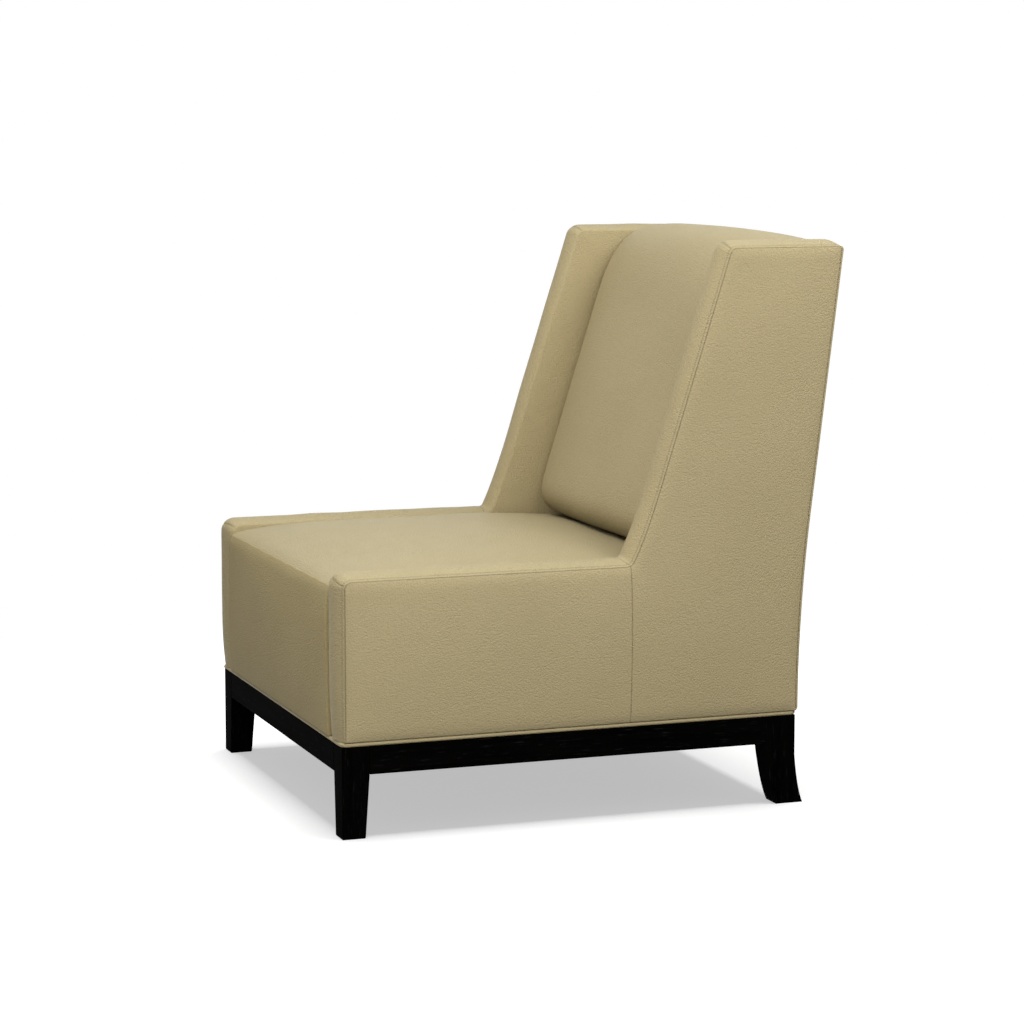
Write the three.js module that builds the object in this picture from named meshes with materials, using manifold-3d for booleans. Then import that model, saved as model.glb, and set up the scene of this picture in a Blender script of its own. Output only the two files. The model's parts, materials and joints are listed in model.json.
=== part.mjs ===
// A leather slipper chair: a crowned seat and a raked back between two L-shaped padded sides, each a
// low arm in front and a wing behind, on a dark wooden base whose rear legs sweep backwards.
// Millimetres, +Z up, the sitter faces -Y. Left and right are those of someone who faces the chair.
import * as THREE from "three";
import { mergeVertices } from "three/addons/utils/BufferGeometryUtils.js";
import Module from "manifold-3d";

const wasm = await Module();
wasm.setup();

// Clearance between pieces that touch, and how far a cut runs past what it cuts
const fit = 0.3;
const overrun = 10;

// Wooden base
const baseWidth = 719;
const baseDepth = 769;
const baseHeight = 146;
const apronHeight = 45;
const apronThickness = 22;
const legSize = 45;
const legFootSize = 38;
const rearLegDepth = 52;
const rearFootDepth = 47;
const rearLegSweep = 15;
const sabreHeight = 80;
const blockReach = 95;
const blockHeight = 32;

// Bolts that hold the base to the seat frame
const boltDiameter = 8;
const boltHeadAcross = 13;
const boltHeadHeight = 5.5;
const boltBite = 25;

// Outline of a side, seen from the side: the line of its outer seam
const frontInset = 0.5;
const armHeight = 405;
const wingHeight = 905.5;
const wingDepth = 283.5;
const wingLean = 159;
const armCornerRadius = 20;
const wingCornerRadius = 12;
const elbowLead = 10;
const elbowRise = 136;
const elbowPull = 36;
const rearOverhang = 4;
const backLean = 72;
const rearBendHeight = 323;
const rearBendReach = 157;

// Padding of a side
const sideOverhang = 3.8;
const sideThickness = 65.3;
const sideCrown = 12;
const crownFade = 60;
const crownRearFade = 22;
const panelPillow = 6;
const pillowReach = 60;
const waddingThickness = 6.5;

// Covers and trim
const leather = 1.5;
const weltDiameter = 7;
const weltProud = 3;
const weltCornerRadius = 8;
const dustCoverThickness = 1;

// Frame inside the upholstery
const plyThickness = 18;
const frameInset = 11;
const frameRearInset = 12;
const railThickness = 25;
const seatRailDrop = 143;
const sideRailHeight = 40;
const rearRailLift = 39.4;
const bottomRailHeight = 60;
const backRailHeight = 60;
const stileKneeRise = 30;
const stileToeSetback = 4;

// Seat
const seatSeamDrop = 13;
const seatEdgeRise = 16;
const seatCrown = 21;
const seatFrontBulge = 6;
const seatRearClearance = 1;

// Sinuous springs, their clips and the felt over them
const springCount = 4;
const springMargin = 87.7;
const springBars = 17;
const springBarLength = 18;
const springWire = 4;
const springArch = 6;
const clipWidth = 14;
const clipMetal = 1.2;
const clipTail = 8;
const feltThickness = 4;

// Back
const backSetback = 57;
const backFoamThickness = 75;
const backCrown = 14;
const backBottomLift = 18;
const backBottomCurl = 86;
const backBottomTuck = 20;
const backRollDepth = 120;
const backRollPull = 75;
const backTopRise = 14.5;
const backTopSetback = 66;
const backTopReach = 55;
const outsidePillow = 3;
const strapWidth = 60;
const strapThickness = 1.6;
const strapMargin = 187.7;

// Steps and sides of round stretches
const crownSteps = 8;
const legCurveSteps = 14;
const cornerSteps = 4;
const wingCornerSteps = 3;
const curveSteps = 5;
const boltSides = 12;
const weltSides = 8;
const wireSides = 5;
const springTurnSteps = 3;

// Shares of the stretches of a side's outline and of a panel's width, from its start
const frontStationShares = [0, 0.16, 0.36, 0.6, 0.82];
const armStationShares = [0.06, 0.25, 0.5, 0.75, 0.95];
const wingStationShares = [0.25, 0.5, 0.75];
const topStationShares = [0.35, 0.7, 0.89, 1];
const rearStationShares = [0.985, 0.7, 0.45, 0.35, 0.25, 0.12, 0];
const stileStationShares = [1, 0.45, 0.35, 0.25, 0.12, 0];
const wingRowShares = [0, 0.08, 0.35, 0.7];
const panelShares = [0, 0.04, 0.15, 0.35, 0.65, 0.85, 0.96, 1];
const crownFloorShare = 0.25;
const pillowPowerShare = 3;
const outsideEdgePowerShare = 5;

// Shares of a Bezier's box, of the seat's depth with its edge rise and crown, and of a half width
const sabreRearShares = [[0, 1], [0.17, 0.62], [0.5, 0.2], [1, 0]];
const sabreFrontShares = [[0, 1], [0.15, 0.69], [0.49, 0.2], [1, 0]];
const seatTopShares = [
  [0, 0, 0], [0.02, 0.3, 0.14], [0.07, 0.6, 0.42], [0.16, 0.85, 0.74], [0.34, 1, 0.97],
  [0.55, 1, 1], [0.72, 0.95, 0.83], [0.82, 0.8, 0.5], [0.885, 0.55, 0.2], [1, 0.1, 0],
];
const seatFrontShares = [[0, 0.1], [0.25, 0.7], [0.55, 1], [0.82, 0.75], [0.95, 0.35], [0.99, 0]];
const widthShares = [-1, -0.95, -0.82, -0.5, 0, 0.5, 0.82, 0.95, 1];
const crownOuterPowerShare = 3;
const crownInnerPowerShare = 2.3;
const seatCrownPowerShare = 2.6;
const seatFrontEdgeShare = 0.4;
const backCrownPowerShare = 4;
const backDrawShare = 1.5;
const backFaceShares = [0, 0.33, 0.66];
const backTopLeadShare = 0.25;
const swellFootShare = 0.06;
const swellRiseShare = 0.25;
const swellEndShare = 0.31;
const outsideLevelShares = [0, 0.12, 0.22, 0.32, 0.42, 0.6, 0.8, 0.95, 1];
const outsideWidthShares = [-1, -0.9, -0.5, 0, 0.5, 0.9, 1];
const outsidePowerShare = 4;
const clipLipShare = 0.95;

// Heights and levels that follow from the sizes above
const apronBottom = baseHeight - apronHeight;
const weltBottom = baseHeight + fit;
const coverBottom = weltBottom + weltDiameter + fit;
const dustCoverBottom = baseHeight + fit;
const seatSeamHeight = armHeight - seatSeamDrop;
const backBottomHeight = seatSeamHeight + backBottomLift;
const stileKneeHeight = backBottomHeight + stileKneeRise;
const backTopHeight = wingHeight + backTopRise;
const backRollHeight = backTopHeight - backRollDepth;
const frameBottom = dustCoverBottom + dustCoverThickness + fit;
const seatRailTop = armHeight - seatRailDrop;
const springAxis = seatRailTop + fit + clipMetal + fit + springWire / 2;
const feltBottom = springAxis + springArch + springWire / 2 + fit;
const seatFoamBottom = feltBottom + feltThickness + fit;

// Layers of a side, from its outer seam inwards
const skin = leather + fit;
const seamX = baseWidth / 2 + sideOverhang;
const innerX = seamX - sideThickness;
const waddingOuterX = seamX - skin;
const waddingInnerX = waddingOuterX - waddingThickness;
const plyOuterX = waddingInnerX - fit;
const plyInnerX = plyOuterX - plyThickness;
const railEndX = plyInnerX - fit;
const foamInnerX = innerX + skin;
const insideHalf = innerX - fit;
const springSpacing = (2 * (insideHalf - springMargin)) / (springCount - 1);
const strapX = insideHalf - strapMargin;

// Places along the depth
const frontSeamY = frontInset - baseDepth / 2;
const railFrontY = frontSeamY + frameInset;
const wingSlope = wingLean / (wingHeight - armHeight);
const rearFootY = baseDepth / 2 + rearOverhang;
const wingFootY = rearFootY - wingDepth;
const elbowY = wingFootY - elbowLead;
const rearSlope = backLean / (wingHeight - rearBendHeight);

const frontReach = sideCrown - frontSeamY;
const rearReach = rearFootY + backLean;

// Materials
function finish(color, roughness, metalness) {
  return new THREE.MeshStandardMaterial({ color, roughness, metalness });
}

const hide = finish(0xa89a76, 0.5, 0);
const ebony = finish(0x0c0b0b, 0.45, 0);
const frameWood = finish(0xc9a672, 0.75, 0);
const foam = finish(0xe9dcae, 0.95, 0);
const wadding = finish(0xf1efe8, 0.95, 0);
const felt = finish(0x8a8782, 0.95, 0);
const webbing = finish(0x3b3a37, 0.85, 0);
const steel = finish(0x8d9093, 0.35, 1);
const cambric = finish(0x141414, 0.95, 0);

// Curves in a plane

// Points on the Bezier curve through 3 or 4 control points, without its last point
function bezier(controls, count) {
  const at = (points, u) => {
    if (points.length === 1) return points[0];
    const next = points.slice(1).map((p, i) => p.map((v, c) => points[i][c] * (1 - u) + v * u));
    return at(next, u);
  };
  return Array.from({ length: count }, (_, i) => at(controls, i / count));
}

// A line of points moved to its right-hand side, with mitred corners
function offsetLine(line, distance) {
  const sides = line.slice(1).map(([a, b], i) => {
    const [da, db] = [a - line[i][0], b - line[i][1]];
    const length = Math.hypot(da, db);
    return [db / length, -da / length];
  });
  return line.map(([a, b], i) => {
    const before = sides[Math.max(i - 1, 0)];
    const after = sides[Math.min(i, sides.length - 1)];
    const scale = distance / (1 + before[0] * after[0] + before[1] * after[1]);
    return [a + (before[0] + after[0]) * scale, b + (before[1] + after[1]) * scale];
  });
}

// The closed outline of a thin sheet whose outer face is the line
function sheetOutline(line, thickness) {
  return [...line, ...offsetLine(line, thickness).reverse()];
}

// Solids

// A closed solid through rings of as many points each, whose first and last rings are flat
function loft(rings) {
  const size = rings[0].length;
  const positions = rings.flat(2);
  const faces = [];
  for (let r = 1; r < rings.length; r++) {
    for (let i = 0; i < size; i++) {
      const j = (i + 1) % size;
      const [a, b] = [(r - 1) * size + i, (r - 1) * size + j];
      faces.push([a, b, b + size], [a, b + size, a + size]);
    }
  }
  for (const [at, turned] of [[0, true], [rings.length - 1, false]]) {
    for (const [a, b, c] of capFaces(rings[at])) {
      const face = [at * size + a, at * size + b, at * size + c];
      faces.push(turned ? face.reverse() : face);
    }
  }
  return outward(positions, faces);
}

// The triangles that fill a flat ring, in the ring's own turning direction
function capFaces(ring) {
  const normal = new THREE.Vector3();
  ring.forEach((p, i) => {
    const [a, b] = [new THREE.Vector3(...p), new THREE.Vector3(...ring[(i + 1) % ring.length])];
    normal.add(a.cross(b));
  });
  const drop = [normal.x, normal.y, normal.z].map(Math.abs);
  const axis = drop.indexOf(Math.max(...drop));
  const flat = ring.map((p) => new THREE.Vector2(...p.filter((_, c) => c !== axis)));
  const faces = THREE.ShapeUtils.triangulateShape(flat, []);
  const turn = THREE.ShapeUtils.area(flat) < 0;
  return faces.map((f) => (turn ? [...f].reverse() : f));
}

// A geometry from points and faces, turned so that its faces point out
function outward(positions, faces) {
  const geometry = new THREE.BufferGeometry();
  geometry.setAttribute("position", new THREE.Float32BufferAttribute(positions, 3));
  let volume = 0;
  const corners = [new THREE.Vector3(), new THREE.Vector3(), new THREE.Vector3()];
  for (const face of faces) {
    face.forEach((v, i) => corners[i].fromArray(positions, v * 3));
    volume += corners[0].dot(corners[1].clone().cross(corners[2]));
  }
  const index = faces.map((f) => (volume < 0 ? [...f].reverse() : f)).flat();
  geometry.setIndex(index);
  geometry.computeVertexNormals();
  return geometry;
}

// A solid between two planes square to X, from an outline of [y, z] points
function slabX(outline, low, high) {
  return loft([low, high].map((x) => outline.map(([y, z]) => [x, y, z])));
}

// A solid between two levels, from an outline of [x, y] points
function slabZ(outline, low, high) {
  return loft([low, high].map((z) => outline.map(([x, y]) => [x, y, z])));
}

// A solid box between two corners
function block([x0, y0, z0], [x1, y1, z1]) {
  const geometry = new THREE.BoxGeometry(x1 - x0, y1 - y0, z1 - z0);
  return geometry.translate((x0 + x1) / 2, (y0 + y1) / 2, (z0 + z1) / 2);
}

function toManifold(geometry) {
  const bare = geometry.clone();
  bare.deleteAttribute("normal");
  bare.deleteAttribute("uv");
  const merged = mergeVertices(bare);
  const vertProperties = merged.attributes.position.array;
  const triVerts = new Uint32Array(merged.index.array);
  return new wasm.Manifold(new wasm.Mesh({ numProp: 3, vertProperties, triVerts }));
}

function toGeometry(manifold) {
  const { vertProperties, triVerts } = manifold.getMesh();
  const geometry = new THREE.BufferGeometry();
  geometry.setAttribute("position", new THREE.BufferAttribute(vertProperties, 3));
  geometry.setIndex(new THREE.BufferAttribute(triVerts, 1));
  geometry.computeVertexNormals();
  return geometry;
}

// The geometry with the cutters taken away
function cut(geometry, ...cutters) {
  return toGeometry(cutters.reduce((left, c) => left.subtract(toManifold(c)), toManifold(geometry)));
}

function join(...geometries) {
  return toGeometry(geometries.map(toManifold).reduce((whole, g) => whole.add(g)));
}

// A path that a section follows from station to station
class Route extends THREE.Curve {
  constructor(stations) {
    super();
    this.stations = stations.map((p) => new THREE.Vector3(...p));
  }

  getPoint(u) {
    const place = u * (this.stations.length - 1);
    const from = Math.min(Math.floor(place), this.stations.length - 2);
    return this.stations[from].clone().lerp(this.stations[from + 1], place - from);
  }

  getPointAt(u) {
    return this.getPoint(u);
  }

  getTangentAt(u) {
    const last = this.stations.length - 1;
    const at = Math.round(u * last);
    const [before, after] = [this.stations[Math.max(at - 1, 0)], this.stations[Math.min(at + 1, last)]];
    return after.clone().sub(before).normalize();
  }
}

// A round rod along a route
function rod(stations, diameter, sides) {
  const section = new THREE.Shape();
  for (let i = 0; i < sides; i++) {
    const turn = (2 * Math.PI * i) / sides;
    const place = [(Math.cos(turn) * diameter) / 2, (Math.sin(turn) * diameter) / 2];
    if (i) section.lineTo(...place);
    else section.moveTo(...place);
  }
  section.closePath();
  const extrudePath = new Route(stations);
  return new THREE.ExtrudeGeometry(section, { steps: stations.length - 1, extrudePath });
}

// Outline of a side

function wingLine(z) {
  return wingFootY + (z - armHeight) * wingSlope;
}

// The rear face's line: plumb at the bottom, a bend, then a straight lean to the top
function rearLine(z) {
  const leaned = (height) => rearFootY + (height - rearBendHeight) * rearSlope;
  if (z >= rearBendHeight + rearBendReach) return leaned(z);
  if (z <= rearBendHeight - rearBendReach) return rearFootY;
  const u = (z - rearBendHeight + rearBendReach) / (2 * rearBendReach);
  return rearFootY + u * u * (leaned(rearBendHeight + rearBendReach) - rearFootY);
}

// Stations on an arc: its centre, radius, and the directions it turns between
function arcStations([cy, cz], radius, from, to, count) {
  return Array.from({ length: count + 1 }, (_, i) => {
    const turn = from + ((to - from) * i) / count;
    const out = [Math.cos(turn), Math.sin(turn)];
    return { at: [cy + radius * out[0], cz + radius * out[1]], out };
  });
}

// The seam's stretches: up the front, over the arm, up the wing and over its top. Each station has
// its place and the direction in which the padding stands out from it.
function seamStretches(bottom, rearInset) {
  const up = [0, 1];
  const wingOut = [-1 / Math.hypot(1, wingSlope), wingSlope / Math.hypot(1, wingSlope)];
  const frontTop = armHeight - armCornerRadius;
  const front = frontStationShares.map((share) => ({
    at: [frontSeamY, bottom + (frontTop - bottom) * share],
    out: [-1, 0],
  }));
  const armArc = [frontSeamY + armCornerRadius, frontTop];
  const armCorner = arcStations(armArc, armCornerRadius, Math.PI, Math.PI / 2, cornerSteps);
  const arm = armStationShares.map((share) => ({
    at: [armArc[0] + (elbowY - armArc[0]) * share, armHeight],
    out: up,
  }));
  const wingStart = armHeight + elbowRise;
  const arcFoot = wingHeight - wingCornerRadius * (1 - wingOut[1]);
  const wing = wingStationShares.map((share) => {
    const z = wingStart + (arcFoot - wingStart) * share;
    return { at: [wingLine(z), z], out: wingOut };
  });
  const topArc = [wingLine(arcFoot) - wingOut[0] * wingCornerRadius, wingHeight - wingCornerRadius];
  const lean = Math.atan2(wingOut[1], wingOut[0]);
  const topCorner = arcStations(topArc, wingCornerRadius, lean, Math.PI / 2, wingCornerSteps);
  const topEnd = rearLine(wingHeight) - rearInset;
  const top = topStationShares.map((share) => ({
    at: [topArc[0] + (topEnd - topArc[0]) * share, wingHeight],
    out: up,
  }));
  return { front, armCorner, arm, elbow: elbowStations(up), wing, topCorner, top };
}

// The elbow: a mitred corner, then a curve that runs into the straight wing
function elbowStations(up) {
  const controls = [
    [elbowY, armHeight],
    [wingLine(armHeight + elbowPull), armHeight + elbowPull],
    [wingLine(armHeight + elbowRise), armHeight + elbowRise],
  ];
  const line = [...bezier(controls, curveSteps), controls[2]];
  const outs = line.map((p, i) => {
    const [a, b] = [line[Math.max(i - 1, 0)], line[Math.min(i + 1, line.length - 1)]];
    const length = Math.hypot(b[0] - a[0], b[1] - a[1]);
    return [(a[1] - b[1]) / length, (b[0] - a[0]) / length];
  });
  const mitre = 1 / (1 + outs[0][0] * up[0] + outs[0][1] * up[1]);
  outs[0] = [(outs[0][0] + up[0]) * mitre, (outs[0][1] + up[1]) * mitre];
  return line.map((at, i) => ({ at, out: outs[i] }));
}

// A side's closed outline: its seam line moved out by the rise at each place, or in where that is
// negative, and run on below its bottom and behind its rear where asked
function sideOutline({ rise = () => 0, rearInset = 0, bottom = coverBottom, below = 0, behind = 0 }) {
  const stations = Object.values(seamStretches(bottom, rearInset)).flat();
  const line = stations.map(({ at, out }) => at.map((v, c) => v + out[c] * rise(at)));
  const [rearTop, top] = line.at(-1);
  const rears = rearStationShares.map((share) => {
    const z = bottom + (top - bottom) * share;
    return [rearLine(z) - rearInset + behind, z];
  });
  const corner = behind ? [[rearTop + behind, top]] : [];
  const outline = [...line, ...corner, ...rears];
  if (!below) return outline;
  const feet = [outline.at(-1)[0], outline[0][0]].map((y) => [y, bottom - below]);
  return [...outline, ...feet];
}

// How far the padding stands out at a place: it is drawn in towards the base and the rear
function crownAt([y, z]) {
  const shares = [(z - coverBottom) / crownFade, (rearLine(z) - y) / crownRearFade];
  return sideCrown * Math.min(1, Math.max(crownFloorShare, Math.min(...shares)));
}

// The padded body of a side, inset all round by a depth, with its crowned edge, which is rounder
// towards the sitter than at the seam
function sideBody(depth, options) {
  const middle = (seamX + innerX) / 2;
  const reach = sideThickness / 2 - depth;
  return Array.from({ length: crownSteps + 1 }, (_, i) => {
    const turn = (Math.PI * (crownSteps - i)) / crownSteps;
    const power = 2 / (2 * i < crownSteps ? crownInnerPowerShare : crownOuterPowerShare);
    const x = middle + reach * Math.sign(Math.cos(turn)) * Math.abs(Math.cos(turn)) ** power;
    const full = i % crownSteps ? Math.sin(turn) ** power : 0;
    const rise = (at) => full * (crownAt(at) - depth);
    return sideOutline({ rise, ...options }).map(([y, z]) => [x, y, z]);
  });
}

// Sides

// The space under the seat, from the front rail backwards, that a side's inner face leaves open
function underSeat(low, high) {
  const from = railFrontY - fit;
  return block([low, from, coverBottom - overrun], [high, rearReach, seatRailTop + fit]);
}

// The space behind the wing's crowned top, from a depth in front of the cover's rear end
function behindCrown(depth) {
  const from = rearLine(wingHeight) - skin - depth;
  const low = [innerX - overrun, from, wingHeight + leather - depth];
  return block(low, [seamX + overrun, rearReach + overrun, wingHeight + sideCrown + overrun]);
}

// The leather over a side's inner face and edge, closed behind the wing's crowned top
function sideCover() {
  const outer = sideBody(0, { rearInset: skin });
  const inner = sideBody(leather, { rearInset: skin, below: overrun, behind: overrun });
  const wide = inner.at(-1).map(([, y, z]) => [seamX + overrun, y, z]);
  const hollow = cut(loft([...inner, wide]), behindCrown(leather));
  const rails = [stileKneeHeight, backTopRailBottom()].map((low) => {
    return slabX(grownRing(backRail(low)), 0, foamInnerX);
  });
  return cut(loft(outer), hollow, underSeat(innerX - overrun, foamInnerX), ...rails);
}

function sideFoam() {
  const body = loft(sideBody(skin, { rearInset: skin }));
  const rise = () => fit - frameInset;
  const plyOptions = { rise, rearInset: frameRearInset - fit, bottom: frameBottom, below: overrun };
  const ply = slabX(sideOutline(plyOptions), railEndX, seamX);
  const padding = sideOutline({ below: overrun, behind: overrun });
  const pad = slabX(padding, plyOuterX + fit / 2, seamX);
  const stile = slabX(grownRing(stileOutline()), 0, railEndX + overrun);
  const hollows = [underSeat(0, railEndX + overrun), behindCrown(skin)];
  return cut(body, ply, pad, stile, ...hollows);
}

function sideFrame() {
  const rise = () => -frameInset;
  const outline = sideOutline({ rise, rearInset: frameRearInset, bottom: frameBottom });
  return slabX(outline, plyInnerX, plyOuterX);
}

// The edge all round a side's outer face
const faceEdge = sideOutline({});

// The distance from a place on the outer face to its edge
function edgeDistance([y, z]) {
  const distances = faceEdge.map(([ay, az], i) => {
    const [by, bz] = faceEdge[(i + 1) % faceEdge.length];
    const [dy, dz] = [by - ay, bz - az];
    const along = ((y - ay) * dy + (z - az) * dz) / (dy * dy + dz * dz);
    const share = Math.min(1, Math.max(0, along));
    return Math.hypot(y - ay - share * dy, z - az - share * dz);
  });
  return Math.min(...distances);
}

// How far an outer panel stands out at a place
function pillow(place) {
  const left = Math.max(0, 1 - edgeDistance(place) / pillowReach);
  return panelPillow * (1 - left ** pillowPowerShare);
}

// A panel's rings from rows of [low corner, high corner]: the outer face stands a depth inside the
// leather's own face, and back gives the x of the rear face
function panelRings(rows, depth, back) {
  return rows.map(([low, high]) => {
    const face = panelShares.map((share) => {
      const place = low.map((v, c) => v + (high[c] - v) * share);
      return [seamX - depth + pillow(place), ...place];
    });
    return [...face, ...face.map(([x, y, z]) => [back(x), y, z]).reverse()];
  });
}

// Stations of the seam moved in by the clearance
function insetStations(stations) {
  return stations.map(({ at, out }) => at.map((v, c) => v - out[c] * fit));
}

// Rows across the wing panel, from its front edge to the rear
function wingRows() {
  const { elbow, wing, topCorner } = seamStretches(coverBottom, 0);
  const armRise = armHeight - coverBottom;
  const lower = wingRowShares.map((share) => [elbowY + fit, coverBottom + armRise * share]);
  const fronts = [...lower, ...insetStations([...elbow, ...wing, ...topCorner])];
  return fronts.map(([y, z]) => [[y, z], [rearLine(z) - skin - fit, z]]);
}

// Columns along the arm panel, from its bottom to its top edge
function armRows() {
  const { armCorner, arm } = seamStretches(coverBottom, 0);
  const tops = [...insetStations([...armCorner, ...arm]), [elbowY - fit, armHeight - fit]];
  return tops.map(([y, z]) => [[y, coverBottom], [y, z]]);
}

const leatherBack = (x) => x - leather;

function sideWadding() {
  const toPly = () => waddingInnerX;
  const [arm, wing] = [armRows(), wingRows()].map((rows) => {
    const rings = panelRings(rows, skin, toPly);
    return loft(rings.map((ring) => ring.reverse()));
  });
  const bridge = block(
    [waddingInnerX, elbowY - overrun, coverBottom],
    [waddingOuterX, elbowY + overrun, armHeight - overrun],
  );
  return join(arm, bridge, wing);
}

// Seat

function seatFrontLine(crown) {
  return seatFrontShares.map(([share, bulge]) => {
    const z = coverBottom + (seatSeamHeight - leather - fit - coverBottom) * share;
    const full = seatFrontEdgeShare + (1 - seatFrontEdgeShare) * crown;
    return [frontSeamY - bulge * seatFrontBulge * full, z];
  });
}

function seatRearY() {
  return stileFront(stileKneeHeight) - seatRearClearance;
}

function seatTopLine(crown) {
  return seatTopShares.map(([share, rise, crownShare]) => {
    const y = frontSeamY + (seatRearY() - frontSeamY) * share;
    return [y, seatSeamHeight + rise * seatEdgeRise + crownShare * seatCrown * crown];
  });
}

// Rings across the width, each from a line that takes the crown there
function acrossWidth(half, power, draw, ringAt) {
  return widthShares.map((share) => {
    const crown = 1 - draw * Math.abs(share) ** power;
    return ringAt(crown).map(([y, z]) => [half * share, y, z]);
  });
}

function seatTopCover() {
  const ring = (crown) => sheetOutline(seatTopLine(crown), leather);
  return loft(acrossWidth(insideHalf, seatCrownPowerShare, 1, ring));
}

function seatFrontCover() {
  const ring = (crown) => sheetOutline(seatFrontLine(crown), leather);
  return loft(acrossWidth(insideHalf, seatCrownPowerShare, 1, ring));
}

function seatFoam() {
  const ring = (crown) => {
    const front = offsetLine(seatFrontLine(crown), skin).slice(0, -1);
    const top = offsetLine(seatTopLine(crown), skin).slice(1);
    return [
      ...front,
      ...top,
      [seatRearY(), seatFoamBottom],
      [railFrontY - fit, seatFoamBottom],
      [railFrontY - fit, coverBottom],
    ].reverse();
  };
  return loft(acrossWidth(insideHalf, seatCrownPowerShare, 1, ring));
}

function seatFelt() {
  return block([-insideHalf, railFrontY, feltBottom], [insideHalf, seatRearY(), feltBottom + feltThickness]);
}

// Springs

function rearRailY() {
  return stileFront(stileKneeHeight) + stileToeSetback;
}

// The stations of one sinuous spring: bars across the seat, joined by half turns
function springStations(x) {
  const [from, to] = [railFrontY + railThickness / 2, rearRailY() + railThickness / 2];
  const pitch = (to - from) / (springBars - 1);
  const level = (y) => springAxis + springArch * Math.sin((Math.PI * (y - from)) / (to - from));
  const stations = [];
  for (let bar = 0; bar < springBars; bar++) {
    const side = bar % 2 ? -1 : 1;
    const y = from + bar * pitch;
    stations.push([x - (side * springBarLength) / 2, y, level(y)]);
    const turned = bar < springBars - 1 ? springTurnSteps : 1;
    for (let i = 0; i < turned; i++) {
      const turn = (Math.PI * i) / springTurnSteps;
      const along = y + (pitch / 2) * (1 - Math.cos(turn));
      const out = springBarLength / 2 + (pitch / 2) * Math.sin(turn);
      stations.push([x + side * out, along, level(along)]);
    }
  }
  return stations;
}

// A clip's outline round the wire: a tail flat on the rail, a turn round the wire and a short lip
function clipOutline(y, facing) {
  const inside = springWire / 2 + fit;
  const outside = inside + clipMetal;
  const arc = (radius, from, to) =>
    Array.from({ length: cornerSteps + 1 }, (_, i) => {
      const turn = from + ((to - from) * i) / cornerSteps;
      return [y - facing * radius * Math.sin(turn), springAxis - radius * Math.cos(turn)];
    });
  const lip = Math.PI * clipLipShare;
  return [
    [y + facing * clipTail, springAxis - outside],
    ...arc(outside, 0, lip),
    ...arc(inside, lip, 0),
    [y + facing * clipTail, springAxis - inside],
  ];
}

function springClip(x, y, facing) {
  return slabX(clipOutline(y, facing), x - clipWidth / 2, x + clipWidth / 2);
}

// Frame inside the upholstery

// The front edge of the back frame: its foam's thickness behind the back's face
function stileFront(z) {
  return wingLine(Math.max(z, stileKneeHeight)) + backSetback + backFoamThickness;
}

function stileOutline() {
  const top = wingHeight - frameInset;
  const rears = stileStationShares.map((share) => {
    const z = frameBottom + (top - frameBottom) * share;
    return [rearLine(z) - frameRearInset, z];
  });
  const knee = [stileFront(stileKneeHeight), stileKneeHeight];
  return [[stileFront(frameBottom), frameBottom], knee, [stileFront(top), top], ...rears];
}

function backStile() {
  return cut(slabX(stileOutline(), foamInnerX, railEndX), ...boltHoles(1));
}

// An outline of a few straight sides, grown by the clearance
function grownRing(outline) {
  const around = [outline.at(-1), ...outline, outline[0]];
  return offsetLine(around, -fit).slice(1, -1);
}

function backTopRailBottom() {
  return wingHeight - frameInset - backRailHeight;
}

// A rail of the back frame, from the level of its lower edge
function backRail(low) {
  const high = low + backRailHeight;
  const [a, b] = [stileFront(low), stileFront(high)];
  return [[a, low], [b, high], [b + railThickness, high], [a + railThickness, low]];
}

function crossRail(low) {
  const half = foamInnerX - fit;
  return slabX(backRail(low), -half, half);
}

function backStrap(x) {
  const [low, high] = [stileKneeHeight, wingHeight - frameInset];
  const rear = [[stileFront(low) - fit, low], [stileFront(high) - fit, high]];
  const front = rear.map(([y, z]) => [y - strapThickness, z]).reverse();
  return slabX([...rear, ...front], x - strapWidth / 2, x + strapWidth / 2);
}

function frontSeatRail() {
  const high = [railEndX, railFrontY + railThickness, seatRailTop];
  return block([-railEndX, railFrontY, frameBottom], high);
}

function rearSeatRail() {
  const half = foamInnerX - fit;
  const [low, high] = [rearRailY(), rearRailY() + railThickness];
  return block([-half, low, frameBottom + rearRailLift], [half, high, seatRailTop]);
}

function bottomRail() {
  const half = foamInnerX - fit;
  const rear = rearFootY - frameRearInset;
  return block([-half, rear - railThickness, frameBottom], [half, rear, frameBottom + bottomRailHeight]);
}

function sideRail() {
  const low = [foamInnerX, railFrontY + railThickness + fit, frameBottom];
  const high = [railEndX, stileFront(stileKneeHeight) - fit, frameBottom + sideRailHeight];
  return cut(block(low, high), ...boltHoles(1));
}

// Back

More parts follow.
